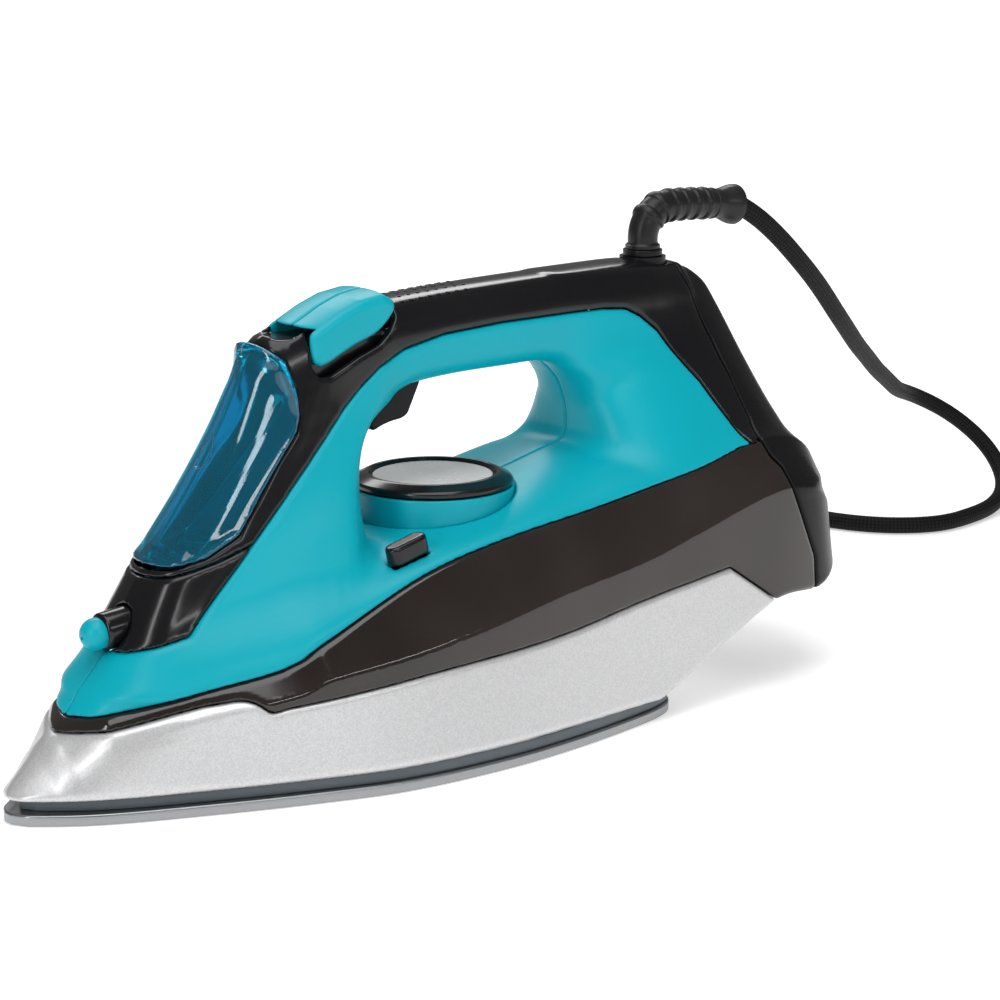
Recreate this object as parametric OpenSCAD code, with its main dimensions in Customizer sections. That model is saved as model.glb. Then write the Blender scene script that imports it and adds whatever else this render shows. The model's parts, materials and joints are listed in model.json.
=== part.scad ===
/* [Soleplate] */
// Length of the soleplate from nose to heel
sole_length = 240; // [232:1:246]
// Width of the soleplate at its widest
sole_width = 116; // [112:1:120]
// Thickness of the polished lip of the soleplate
sole_lip = 3.5; // [3:0.5:4]

/* [Body] */
// Wall of every moulded cover
wall = 2.4; // [2:0.1:2.8]
// Open line between neighbouring covers
seam = 0.3; // [0.2:0.1:0.5]
// Height of the handle's top above the ironing surface
handle_top = 147; // [145:1:149]
// Half of the grip's width, side to side
grip_half = 13.2; // [12.6:0.2:13.8]

/* [Controls] */
// Radius of the temperature dial
dial_radius = 26.6; // [25:0.2:27]
// How far each thumb button goes down
button_travel = 2.5; // [2:0.5:3]
// How far the trigger under the grip goes up
trigger_travel = 3; // [2:0.5:3.5]

/* [Cord] */
// Diameter of the braided lead
lead = 6.8; // [6:0.2:7.2]
// Outside diameter of the stored coil
coil_outside = 92; // [88:1:98]

/* [Hidden] */
$fn = 48;

nose = -sole_length / 2;
heel = sole_length / 2;
skirt_base = 7.5;

// A table [[x, value], ...] read as one smooth curve.
function slope(t, i) = let (a = max(i - 1, 0), b = min(i + 1, len(t) - 1))
    (t[b][1] - t[a][1]) / (t[b][0] - t[a][0]);
function span(t, x, i = 0) = i >= len(t) - 2 || x <= t[i + 1][0] ? i : span(t, x, i + 1);
function curve(t, x) = let (
        i = span(t, x),
        h = t[i + 1][0] - t[i][0],
        u = min(max((x - t[i][0]) / h, 0), 1))
    (2 * u^3 - 3 * u^2 + 1) * t[i][1] + (u^3 - 2 * u^2 + u) * slope(t, i) * h
    + (3 * u^2 - 2 * u^3) * t[i + 1][1] + (u^3 - u^2) * slope(t, i + 1) * h;

// Half width of the soleplate along its length, as shares of its greatest half width.
sole_shape = [[nose, 0.03], [nose + 3, 0.12], [nose + 20, 0.34], [nose + 50, 0.58], [-40, 0.785],
    [-10, 0.945], [28, 1], [60, 0.97], [92, 0.885], [106, 0.82], [113, 0.73], [117.5, 0.58], [heel, 0.3]];
function sole_half(x) = curve(sole_shape, x) * sole_width / 2;

// Rails of the lower body: half widths and heights of its section along X.
side_low = [[nose - 1, 0.6], [nose + 3, 7], [nose + 20, 19.8], [nose + 50, 33.6], [-40, 45.5], [-10, 54.8],
    [28, 58], [60, 56.3], [100, 53], [150, 50], [180, 47], [193, 41.5], [201, 32], [205, 20], [207, 7]];
edge_high = [[nose + 16, 1.5], [nose + 25, 12], [-69, 26.5], [-41, 37.5], [-30, 40], [8, 40.5],
    [60, 40.5], [140, 40.5], [165, 40], [180, 37], [193, 30], [202, 16], [207, 3]];
base_z = [[nose, skirt_base], [98, skirt_base], [102, 8], [158, 31], [184, 31.5], [198, 36.5], [207, 45.5]];
shoulder_z = [[nose + 16, 26.5], [nose + 25, 29], [-69, 35], [-41, 40.5], [-32, 45], [4, 51], [56, 61],
    [91, 65.5], [118, 70.5], [161, 77.5], [180, 74], [193, 65], [207, 50.5]];
edge_z = [[nose + 16, 28], [nose + 25, 30.5], [-69, 36.5], [-41, 42], [-32, 47], [8, 62.5], [41, 69],
    [84, 74], [129, 80.5], [150, 85], [166, 86], [182, 81], [195, 70], [207, 51.5]];
crest_z = [[nose - 1, skirt_base + 1], [nose + 13, 22.5], [nose + 18, 27], [nose + 22, 31.5],
    [nose + 34, 42.5], [-69, 56], [-41, 64], [0, 69], [18, 71.5], [45, 76.5], [75, 82], [100, 87],
    [160, 89], [174, 87.5], [191, 77], [202, 61.5], [207, 52]];

// Upright slices of the front arm and of the rear column, against height.
arm_tip = [[36, -94], [44, -87], [60, -77], [73, -68.5], [90, -55], [107, -43], [122, -34.5],
    [132, -29], [138, -22], [141, -12]];
arm_front_half = [[36, 25], [44, 22.5], [60, 19], [73, 17.5], [90, 16.5], [107, 15.5], [122, 14],
    [132, 12.5], [141, 10]];
arm_wide_half = [[36, 41], [44, 39.5], [52, 36], [60, 32], [73, 26.5], [80, 23.5], [90, 20], [100, 17.5],
    [110, 15.5], [120, 14], [132, 12.8], [141, 10.5]];
arm_wide_x = [[36, -32], [60, -20], [73, -14], [90, -8], [110, 2], [130, 8], [141, 8]];
arm_back = [[36, 10], [60, 9], [73, 3.5], [90, 3.5], [101, 5.5], [108, 11], [114, 20], [141, 22]];
column_front = [[68, 93], [80, 99], [90, 103], [100, 103], [108, 101.5], [115, 96], [145, 92]];
column_half = [[68, 42], [80, 39.3], [88, 35], [96, 29.5], [104, 24.5], [112, 20], [120, 16.5],
    [130, 13.6], [138, 12], [145.5, 8]];
column_rear = [[68, 200], [80, 190.5], [90, 185.5], [100, 181.5], [110, 177.5], [120, 173], [130, 167.5],
    [137, 162.5], [142, 156], [145.5, 150]];

// The grip: its underside and its top along X.
grip_low = [[-24, 112], [8, 107], [16, 111.5], [30, 117], [75, 118.2], [87, 117.5], [97, 113.5], [105, 103],
    [150, 100]];
grip_high = [[-24, -11], [-10, -7], [5, -4], [30, -1.8], [60, -0.6], [110, 0], [132, -0.3], [148, -2.5]];

// Lines between the covers, seen from the side.
skirt_top = [[nose - 5, 12], [nose + 12, 24], [nose + 22, 26], [-70, 32.5], [-58, 33.8], [-54, 32.8],
    [-50, 29.8], [-45, 30.5], [0, 35], [56, 38], [91, 42], [135, 46.5]];
function skirt_line() = [for (x = [135:-5:-40]) [x, curve(skirt_top, x)],
    for (x = [-45:-1.5:-61]) [x, curve(skirt_top, x)],
    for (x = [-68:-8:nose - 5]) [x, curve(skirt_top, x)], [nose - 5, 12]];
function edge_line() = [[nose - 5, 25], [nose + 8, 25], for (x = [nose + 16:6:152]) [x, curve(edge_z, x)]];
band_line = [[-92, 43.5], [-87, 46], [-79, 49], [-66, 52.3], [-61, 57], [-2, 114], [4, 119], [13, 125],
    [24, 129.5], [40, 132.4], [64, 133.5], [108, 133.5], [118, 132.5], [124, 129.5], [131, 124], [144, 106],
    [150, 93], [153, 85]];
rear_seam = [[146.5, 160], [146.5, 141], [149, 136], [152, 129], [156, 118], [159, 106], [160, 92],
    [157.5, 86], [160, 80.5], [164.5, 76], [179, 43], [179, 20]];
lid_line = [[-75, 71.5], [-66, 72], [-56, 74.5], [-45, 80], [-28, 101.5], [-21.5, 109], [-20, 114],
    [-20.5, 122], [-23, 131], [-28, 136], [-36, 140]];
front_seam = [[-80, 67.5], [-68, 69], [-52, 73], [-40.5, 76.8]];

// Dial, steam lever and buttons.
dial_at = [45, 0];
dial_plane = 84.3;
dial_rim = 3.4;
collar_radius = 27;
collar_base = 66;
shaft_radius = 3;
lever_at = [8.3, -32, 70.4];
lever_slope = 14;
lever_half = 4.4;
lever_width = 6.4;
button_front = -12.5;
button_back = 20.5;
button_half = 12.8;
lobe = 2.4;
seat_z = 136.5;
lobe_wall = 9.8;
pump_x = 6;
pump_y = 4.1;

// Swivel and guard of the lead.
swivel_x = 138.5;
swivel_radius = 5.5;
guard_base = 149.5;
guard_elbow = 10.5;
guard_top = 163.4;
guard_reach = 33;
guard_droop = 2.3;
guard_axis = concat([[0, guard_base]],
    [for (a = [8, 38, 65, 90]) [guard_elbow * (1 - cos(a)), guard_top - guard_elbow * (1 - sin(a))]],
    [for (d = [7, 15, 23, 28, guard_reach])
        [guard_elbow + d, guard_top - guard_droop * (d / guard_reach)^2]]);
guard_radius = [6, 5.3, 5.3, 5.6, 5.6, 5.5, 5.3, 5.2, 6.2, 7.1];
cord_start = [swivel_x + guard_elbow + guard_reach + 1.8, 0, guard_top - guard_droop];

// The coil: its turns lie side by side in two layers.
turn_radius = (coil_outside - lead) / 2;
coil_at = [298, 135];
coil_height = 2 * lead;
coil_hole = 52;
coil_band = (coil_outside - coil_hole) / 2;

// The lead's route: down from the guard, round a wide bend, along the table and into the coil.
table = lead / 2;
cord_route = [cord_start, [188, 0, 159], [200, 1, 152], [220, 5, 138], [240, 13, 125], [260, 23, 112],
    [280, 35, 101], [300, 48, 91], [320, 61, 82], [340, 74, 73], [360, 87, 65], [380, 100, 57],
    [398, 112, 51], [417, 120, 45], [434, 116, 36], [443, 101, 22], [436, 85, 10], [416, 74, 4],
    [396, 69, table], [376, 68, table], [359, 77, table], [348, 93, table], [343, 113, table],
    [coil_at[0] + turn_radius, coil_at[1], table]];

// From the coil's upper layer to the plug, which lies on its rim with its tail low.
plug_tail = [342, 166, 1.5 * lead];
plug_turn = 89;
plug_tilt = 12;
tail_route = [[coil_at[0] + turn_radius, coil_at[1] + 6, 1.5 * lead], [341, 154, 1.5 * lead], plug_tail];

// ---------- shared shapes ----------

// One block between two closed outlines that face each other.
module segment(a, b) {
    points = concat(a, b);
    hull() polyhedron(points = points, faces = [[for (i = [0:len(points) - 1]) i]]);
}

module loft(sections) {
    for (i = [0:len(sections) - 2]) segment(sections[i], sections[i + 1]);
}

// Both halves of an outline from its right half.
function both(half) = concat(half, [for (i = [len(half) - 1:-1:0]) [-half[i][0], half[i][1]]]);
function at_x(x, outline) = [for (p = outline) [x, p[0], p[1]]];
function at_z(z, outline) = [for (p = outline) [p[1], p[0], z]];

function body_section(x, t, floor_z) = let (
        low = max(curve(side_low, x) - t, 0.3),
        high = min(max(curve(edge_high, x) - t, 0.15), low * 0.93),
        base = floor_z > 0 ? max(curve(base_z, x) + t, floor_z) : curve(base_z, x),
        edge = curve(edge_z, x) - t * 0.6,
        mid = curve(shoulder_z, x) - t * 0.4,
        crest = max(curve(crest_z, x) - t, base + 0.4))
    x < nose + 16
    ? both([[low - min(1, low / 3), base], [low, base + min(1.5, (crest - base) * 0.2)],
        [low * 0.75, base + (crest - base) * 0.45], [low * 0.45, base + (crest - base) * 0.75],
        [low * 0.2, base + (crest - base) * 0.93], [0.05, crest]])
    : both([[low - 1, base], [low, base + 1.5], [high + (low - high) * 0.72, base + (mid - base) * 0.82 ],
        [high, edge], [high * 0.55, edge + (crest - edge) * 0.8], [0.05, crest]]);

body_x = [nose - 1, nose + 1, nose + 4, nose + 9, nose + 15, nose + 20, nose + 26, nose + 33, -78, -69, -60,
    -50, -41, -32, -20, -8, 4, 18, 32, 46, 60, 75, 90, 104, 118, 132, 146, 158, 168, 178, 186, 193, 199,
    203, 206.5];

module lower_body(t = 0, floor_z = 0) {
    loft([for (x = body_x) if (t == 0 || (x > nose + 8 && x < 202)) at_x(x, body_section(x, t, floor_z))]);
}

function arm_slice(z, t) = let (
        tip = curve(arm_tip, z) + t * 1.2,
        front = curve(arm_front_half, z) - t,
        wide = curve(arm_wide_half, z) - t,
        wide_x = curve(arm_wide_x, z),
        back = curve(arm_back, z) - t)
    both([[0.05, tip], [front * 0.45, tip + 1.8], [front * 0.78, tip + 7], [front, tip + 19],
        [wide, wide_x], [wide * 0.93, (wide_x + back) / 2 + 2], [wide * 0.6, back], [0.05, back]]);

module front_arm(t = 0) {
    loft([for (z = [36, 44, 52, 60, 66, 73, 80, 90, 100, 108, 114, 122, 128, 132, 138 - t, 141 - t])
        at_z(z, arm_slice(z, t))]);
}

function column_slice(z, t) = let (
        front = curve(column_front, z) + t,
        half = curve(column_half, z) - t,
        rear = curve(column_rear, z) - t)
    both([[0.05, front], [half * 0.55, front + 1], [half * 0.85, front + 9], [half, front + 26],
        [half, rear - 24], [half * 0.9, rear - 12], [half * 0.65, rear - 3], [half * 0.3, rear],
        [0.05, rear]]);

module rear_column(t = 0) {
    loft([for (z = [68, 80, 88, 96, 104, 112, 120, 130, 137, 142 - t, 145.5 - t])
        at_z(z, column_slice(z, t))]);
}

function grip_section(x, t) = let (
        low = curve(grip_low, x) + t,
        top = handle_top + curve(grip_high, x) - t,
        half = grip_half - t,
        shrink = x < 0 ? 0.85 : x > 135 ? 0.9 : 1)
    both([[0.05, low], [half * 0.6 * shrink, low], [half * 0.92 * shrink, low + 3.2],
        [half * shrink, low + 9],
        [half * 0.97 * shrink, top - 9], [half * 0.72 * shrink, top - 2.4], [half * 0.4 * shrink, top - 0.5],
        [0.05, top]]);

module grip(t = 0) {
    loft([for (x = [-20, -10, 0, 9, 16, 23, 30, 45, 60, 75, 84, 92, 99, 110, 120, 132, 140, 148])
        at_x(x, grip_section(x, t))]);
}

module envelope(t = 0, floor_z = 0) {
    lower_body(t, floor_z);
    front_arm(t);
    rear_column(t);
    grip(t);
}

// A block across the whole iron with a given side view, held off its neighbours by the seam.
module side_block(points, gap = seam / 2) {
    rotate([90, 0, 0])
        linear_extrude(160, center = true)
            offset(delta = -gap)
                polygon(points);
}

// A round tube swept along a route as one closed surface.
tube_sides = 8;
function unit(v) = v / norm(v);
function heading(route, i) = unit(route[min(i + 1, len(route) - 1)] - route[max(i - 1, 0)]);
function tube_ring(route, i) = let (
        ahead = heading(route, i),
        aside = unit(cross(ahead, [0, 0, 1])),
        over = cross(aside, ahead))
    [for (k = [0:tube_sides - 1]) let (a = 360 * k / tube_sides)
        route[i] + lead / 2 * (cos(a) * aside + sin(a) * over)];

module tube(route) {
    last = len(route) - 1;
    polyhedron(
        points = [for (i = [0:last]) each tube_ring(route, i)],
        faces = concat(
            [[for (k = [0:tube_sides - 1]) k]],
            [for (i = [0:last - 1]) for (k = [0:tube_sides - 1]) let (
                here = i * tube_sides + k,
                next = i * tube_sides + (k + 1) % tube_sides)
                each [[here, here + tube_sides, next], [next, here + tube_sides, next + tube_sides]]],
            [[for (k = [tube_sides - 1:-1:0]) last * tube_sides + k]]));
}

// ---------- ironing base ----------

function sole_outline(inset = 0) = let (
        side = [for (x = [nose, nose + 1, nose + 3, for (d = [8:8:96]) nose + d, for (x = [-12:12:96]) x,
            103, 108, 112, 115, 117.5, 119.2, heel]) [x, max(sole_half(x) - inset, 0.4)]])
    concat(side, [for (i = [len(side) - 1:-1:0]) [side[i][0], -side[i][1]]]);

module sole_shape_2d(inset) {
    translate([inset * 1.6, 0])
        scale([(sole_length - inset * 2.6) / sole_length, 1])
            polygon(sole_outline(inset));
}

// Steam holes: rows that follow the edge, and a cluster near the nose.
function steam_holes() = [for (x = [-84:14:70]) for (s = [-1, 1]) [x, s * (sole_half(x) - 9)],
    for (x = [-62:14:64]) for (s = [-1, 1]) if (sole_half(x) > 34) [x, s * (sole_half(x) - 19)],
    [-96, 0], [-84, 0], [-72, 0]];

module soleplate() {
    color("silver") difference() {
        linear_extrude(sole_lip) polygon(sole_outline());
        for (p = steam_holes()) translate([p[0], p[1], -1]) cylinder(d = 3, h = sole_lip + 2);
    }
}

module sole_ledge() {
    color("dimgray") translate([0, 0, sole_lip]) linear_extrude(skirt_base - sole_lip - 0.1) difference() {
        sole_shape_2d(1.6);
        sole_shape_2d(5);
    }
}

module heater_block() {
    color("gray") translate([0, 0, sole_lip]) linear_extrude(9.5) sole_shape_2d(5.3);
}

element_z = sole_lip + 9.5 + 3.3;
module heating_element() {
    color("darkgray") {
        for (s = [-1, 1]) translate([-45, s * 22, element_z]) rotate([0, 90, 0]) cylinder(d = 6.5, h = 152);
        translate([-45, 0, element_z]) rotate([0, 0, 90]) rotate_extrude(angle = 180)
            translate([22, 0]) circle(d = 6.5);
    }
}

module steam_chamber_cover() {
    color("lightgray") translate([-50, -15, sole_lip + 9.5]) cube([130, 30, 2]);
}

module thermostat() {
    color("tan") translate([dial_at[0], 0, sole_lip + 11.6]) {
        cylinder(r = 13, h = 9);
        cylinder(r = shaft_radius, h = 13.3);
    }
}

module thermal_fuse() {
    color("white") translate([88, -9, sole_lip + 9.5 + 2.5]) rotate([0, 90, 0]) cylinder(d = 5, h = 20);
}

// ---------- lower covers ----------

module skirt() {
    color("lightgray") intersection() {
        difference() {
            lower_body();
            lower_body(wall, 0);
        }
        side_block(concat([[nose - 5, skirt_base - 2], [98, skirt_base - 2], [106, 9], [158, 31.2]],
            skirt_line()));
    }
}

// The tank: a visible band above the skirt, and a tub with a floor that hangs inside the skirt.
tank_floor = 31;
tub_gap = wall + 1;
module tank_block() {
    side_block(concat([[158.3, 31], [172, 28], [179, 28], [179, 43], [164.5, 76], [160, 80.5], [157.5, 86]],
        [for (i = [len(edge_line()) - 1:-1:0]) edge_line()[i]],
        [for (i = [len(skirt_line()) - 1:-1:0]) skirt_line()[i]]));
}

module tub_block() {
    side_block(concat([[-44, tank_floor], [158, tank_floor]],
        [for (p = skirt_line()) if (p[0] > -44) p + [0, 1]]));
}

module water_tank() {
    color([0.28, 0.25, 0.24, 0.8]) difference() {
        union() {
            intersection() {
                lower_body();
                tank_block();
            }
            intersection() {
                lower_body(tub_gap);
                tub_block();
            }
        }
        lower_body(tub_gap + wall, tank_floor + 2);
        translate([dial_at[0], 0, 0]) cylinder(r = 4.6, h = 60);
        translate([dial_at[0], 0, collar_base - 0.4]) cylinder(r = collar_radius + 0.5, h = 30);
    }
}

module spindle_tube() {
    color("dimgray") translate([dial_at[0], 0, tank_floor + 2.1]) difference() {
        cylinder(r = 6, h = 32.7);
        translate([0, 0, -1]) cylinder(r = 4.4, h = 36);
    }
}

// The needle valve that the steam lever opens.
valve_at = [lever_at[0] - 2, lever_at[1] + 4, tank_floor + 2.1];
needle_radius = 1.6;
module valve_body() {
    color("white") translate(valve_at) difference() {
        cylinder(r = 5, h = 12);
        translate([0, 0, 3]) cylinder(r = needle_radius + 0.05, h = 12);
    }
}

module valve_needle() {
    color("silver") translate(valve_at + [0, 0, 4.5]) cylinder(r = needle_radius, h = 18);
}

// ---------- upper covers ----------

module housing_cuts() {
    translate([dial_at[0], dial_at[1], 40]) cylinder(r = collar_radius + 0.4, h = 60);
    translate([14, -6.8, 100]) cube([25, 13.6, 21 + trigger_travel]);
    lever_slot();
}

module housing() {
    intersection() {
        difference() {
            envelope();
            envelope(wall);
            housing_cuts();
        }
        side_block(concat(edge_line(), [[153, 85]], [for (i = [len(band_line) - 2:-1:0]) band_line[i]],
            [[-96, 43.4], [nose - 5, 40]]));
    }
}

module housing_left() {
    color([0, 0.72, 0.78]) intersection() {
        housing();
        translate([-200, -100 - 0.1, 0]) cube([450, 100, 200]);
    }
}

module housing_right() {
    color([0, 0.72, 0.78]) intersection() {
        housing();
        translate([-200, 0.1, 0]) cube([450, 100, 200]);
    }
}

// Side view of the pair of buttons.
button_side = [[button_front, 139.5], [button_front, 131], [-10.5, 128], [-6.5, 128], [3.6, 132.4],
    [12.6, 135.4], [17.6, 139], [button_back, 143], [20, 147], [16, 149], [7, 147.8], [-1, 145], [-9, 141.2]];

// Room for the buttons to go down.
module button_room() {
    minkowski() {
        side_block(button_side, 0);
        cube([1.2, 0.01, button_travel * 2 + 1.2], center = true);
    }
}

module handle_cover() {
    color([0.08, 0.08, 0.09]) intersection() {
        difference() {
            union() {
                difference() {
                    envelope();
                    envelope(wall);
                }
                intersection() {
                    envelope();
                    union() {
                        translate([-24, -12, seat_z - wall]) cube([50, 24, wall]);
                        for (s = [-1, 1]) translate([-12, s * (lobe_wall - 0.9) - 0.9, 118])
                            cube([38, 1.8, seat_z - 118]);
                    }
                }
            }
            translate([-22, -8, seat_z]) cube([40, 16, 20]);
            difference() {
                button_room();
                translate([-30, -button_half + lobe + 0.5, 0])
                    cube([70, 2 * (button_half - lobe - 0.5), seat_z - 0.5]);
            }
            for (s = [-1, 1]) translate([pump_x, s * pump_y, seat_z - 5]) cylinder(r = 2.8, h = 10);
            translate([swivel_x, 0, 130]) cylinder(r = 8.2, h = 30);
            side_block(concat(lid_line, [[-60, 140], [-110, 72]]), -0.3);
            lid_relief();
        }
        side_block(concat([for (i = [len(front_seam) - 1:-1:0]) front_seam[i]], [[-90, 150], [146.5, 160]],
            [for (i = [1:6]) rear_seam[i]], [[157.5, 86], [153, 85]],
            [for (i = [len(band_line) - 2:-1:5]) band_line[i]]));
    }
}

module front_cover() {
    color([0.08, 0.08, 0.09]) intersection() {
        difference() {
            envelope();
            envelope(wall);
            translate(nozzle_at) rotate([0, 84, 0]) cylinder(r = 6.3, h = 60, center = true);
            lid_relief();
        }
        side_block(concat([[-96, 43.5]], [for (i = [0:4]) band_line[i]],
            [for (i = [len(front_seam) - 1:-1:0]) front_seam[i]], [[-100, 67]]));
    }
}

screw_at = [186, 15, 58];
module rear_cover() {
    color([0.1, 0.1, 0.11]) intersection() {
        difference() {
            envelope();
            intersection() {
                envelope(wall, 34.5);
                translate([0, -100, 0]) cube([400, 200, 200]);
            }
            for (s = [-1, 1]) translate([screw_at[0] + 2, s * screw_at[1], screw_at[2]]) rotate([0, 90, 0])
                cylinder(r = 3.9, h = 30);
            for (s = [-1, 1]) translate([pad_at[0] - 0.05, s * pad_at[1], pad_at[2]]) rotate([0, 90, 0])
                cylinder(r = 3.1, h = 10);
        }
        side_block(concat(rear_seam, [[230, 20], [230, 160]]));
    }
}

module rear_screws() {
    color("silver") for (s = [-1, 1]) translate([screw_at[0], s * screw_at[1], screw_at[2]])
        rotate([0, 90, 0]) {
        cylinder(r = 1.5, h = 7);
        translate([0, 0, 6.5]) cylinder(r = 3.4, h = 2.5);
    }
}

pad_at = [203.2, 13, 50];
module heel_pads() {
    color("black") for (s = [-1, 1]) translate([pad_at[0], s * pad_at[1], pad_at[2]]) rotate([0, 90, 0])
        cylinder(r = 3, h = 3.8);
}

// ---------- spray and filler ----------

nozzle_at = [-87, 0, 53];
module nozzle_collar() {
    color([0.08, 0.08, 0.09]) translate(nozzle_at) rotate([0, 84, 0]) difference() {
        translate([0, 0, 1.2]) cylinder(r = 5.9, h = 13);
        cylinder(r = 3.3, h = 20);
        sphere(r = 5.1);
    }
}

module spray_nozzle() {
    color([0, 0.72, 0.78]) translate(nozzle_at) rotate([0, 84, 0]) difference() {
        union() {
            sphere(r = 5);
            cylinder(r = 3.2, h = 12);
        }
        translate([0, 0, -6]) cylinder(r = 0.5, h = 20);
    }
}

// The lid turns forward on a pin held by two ears on the filler neck.
hinge_at = [-61.5, 0, 74.5];
pin_radius = 1.2;
lid_wall = 2;
lid_swing = 8.5;
neck_at = [-46, 0, 39];
neck_height = 36;

// Room behind the skin for the lid's lower edge as it turns.
module lid_relief() {
    translate(hinge_at) scale([1, 1.53, 1]) sphere(r = lid_swing);
}

module knuckle_block(grow) {
    cylinder(r = 2.4 + grow, h = 6.4 + 2 * grow, center = true);
    translate([-3.2 - grow, -1.5 - grow, -2.6 - grow]) cube([3.2, 3 + 2 * grow, 5.2 + 2 * grow]);
}

module filler_lid() {
    color([0.05, 0.45, 0.62, 0.7]) intersection() {
        difference() {
            front_arm();
            front_arm(lid_wall);
            translate(hinge_at) rotate([90, 0, 0]) {
                knuckle_block(0.05);
                for (s = [-1, 1]) translate([0, 0, s * 4.3]) cylinder(r = 2.3, h = 2.2, center = true);
            }
        }
        side_block(concat(lid_line, [[-60, 140], [-110, 72]]), 0.1);
        translate([-200, -100, 72]) cube([400, 200, 100]);
    }
}

module lid_knuckle() {
    color([0.05, 0.45, 0.62]) translate(hinge_at) rotate([90, 0, 0]) difference() {
        knuckle_block(0);
        cylinder(r = pin_radius + 0.05, h = 10, center = true);
    }
}

module lid_hinge_pin() {
    color("silver") translate(hinge_at) rotate([90, 0, 0]) cylinder(r = pin_radius, h = 10, center = true);
}

module filler_neck() {
    color("white") difference() {
        union() {
            translate(neck_at) cylinder(r = 8, h = neck_height);
            for (s = [-1, 1]) translate([hinge_at[0], s * 4.2, hinge_at[2]]) rotate([90, 0, 0]) {
                cylinder(r = 1.9, h = 1.6, center = true);
                translate([0, -1.9, -0.8]) cube([8.5, 1.9, 1.6]);
            }
        }
        translate(neck_at - [0, 0, 1]) cylinder(r = 6.5, h = neck_height + 2);
        translate(hinge_at) rotate([90, 0, 0]) cylinder(r = pin_radius, h = 20, center = true);
    }
}

module filler_seal() {
    color("dimgray") translate(neck_at + [0, 0, neck_height]) difference() {
        cylinder(r = 8.4, h = 1.6);
        translate([0, 0, -1]) cylinder(r = 6.5, h = 4);
    }
}

// ---------- controls ----------

module dial_collar() {
    color([0, 0.72, 0.78]) translate([dial_at[0], dial_at[1], 0]) difference() {
        translate([0, 0, collar_base])
            cylinder(r = collar_radius, h = dial_plane - dial_rim - 0.4 - collar_base);
        translate([0, 0, 70]) cylinder(r = collar_radius - 2, h = 20);
        translate([0, 0, 60]) cylinder(r = shaft_radius + 0.05, h = 20);
    }
}

module dial_knob() {
    color([0.05, 0.05, 0.06]) translate([dial_at[0], dial_at[1], dial_plane - dial_rim]) difference() {
        union() {
            rotate_extrude() polygon([[0, 0], [dial_radius - 0.6, 0], [dial_radius, 0.6],
                [dial_radius, dial_rim - 0.6], [dial_radius - 0.8, dial_rim], [21, dial_rim + 0.6],
                [0, dial_rim + 0.6]]);
            translate([0, 0, -8]) cylinder(r = 6, h = 8);
        }
        translate([0, 0, dial_rim - 0.4]) cylinder(r = 21, h = 3);
        translate([0, 0, -10]) cylinder(r = shaft_radius, h = 10);
    }
}

module dial_disc() {
    color("gainsboro") translate([dial_at[0], dial_at[1], dial_plane - 0.4]) cylinder(r = 20.9, h = 0.9);
}

module dial_shaft() {
    color("gray") translate([dial_at[0], dial_at[1], 28.5])
        cylinder(r = shaft_radius, h = dial_plane - dial_rim - 28.5);
}

module lever_slot() {
    translate(lever_at) rotate([0, -lever_slope, 0]) translate([-7.5, -1.8, -15]) cube([15, 3.6, 20]);
}

module steam_lever() {
    color([0.06, 0.06, 0.07]) translate(lever_at) rotate([0, -lever_slope, 0]) {
        hull() for (dx = [-lever_half, lever_half]) translate([dx, 0, -3.2])
            cylinder(d = lever_width, h = 6.1);
        translate([-1.5, -1.2, -6]) cube([3, 2.4, 4]);
    }
}

module button(side) {
    difference() {
        intersection() {
            rotate([90, 0, 0]) linear_extrude(60, center = true)
                offset(r = 2, $fn = 24) offset(delta = -2) polygon(button_side);
            translate([-40, side > 0 ? 0.15 : -button_half, 100]) cube([100, button_half - 0.15, 80]);
        }
        translate([-40, -button_half + lobe, 100]) cube([100, 2 * (button_half - lobe), seat_z + 2.6 - 100]);
    }
    translate([pump_x, side * pump_y, seat_z - 7]) cylinder(r = 2.4, h = 12);
}

module spray_button() {
    color([0, 0.74, 0.8]) button(-1);
}

module steam_button() {
    color([0, 0.74, 0.8]) button(1);
}

module pump(side) {
    translate([pump_x, side * pump_y, 112]) difference() {
        cylinder(r = 3.8, h = 20);
        translate([0, 0, 3]) cylinder(r = 3.2, h = 20);
    }
}

module spray_pump() {
    color("white") pump(-1);
}

module steam_pump() {
    color("white") pump(1);
}

module button_spring(side) {
    translate([pump_x, side * pump_y, 115.2]) difference() {
        cylinder(r = 2.6, h = seat_z - 7 - 115.4);
        translate([0, 0, -1]) cylinder(r = 2, h = 30);
    }
}

module spray_spring() {
    color("silver") button_spring(-1);
}

module steam_spring() {
    color("silver") button_spring(1);
}

// Side view of the trigger.
trigger_side = [[15.2, 121], [15.2, 104], [16.5, 102.6], [20, 104], [24, 104.9], [28, 105.2],
    [30.5, 106.4], [35.7, 116.6], [35.7, 121]];
module trigger() {
    color([0.07, 0.07, 0.08]) rotate([90, 0, 0]) linear_extrude(12, center = true)
        offset(r = 1, $fn = 24) offset(delta = -1) polygon(trigger_side);
}

module trigger_spring() {
    color("silver") translate([26, 0, 121.2]) difference() {
        cylinder(r = 3, h = 8);
        translate([0, 0, -1]) cylinder(r = 2.3, h = 12);
    }
}

// ---------- supply ----------

module terminal_block() {
    color("ivory") translate([120, -9, 96]) difference() {
        cube([26, 18, 12]);
        for (y = [3.5, 9, 14.5]) translate([-1, y, 6]) rotate([0, 90, 0]) cylinder(d = 3, h = 30);
    }
}

module swivel_socket() {
    color([0.08, 0.08, 0.09]) translate([swivel_x, 0, 134]) difference() {
        cylinder(r = 8, h = 13.2);
        translate([0, 0, -1]) cylinder(r = swivel_radius + 0.05, h = 20);
    }
}

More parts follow.
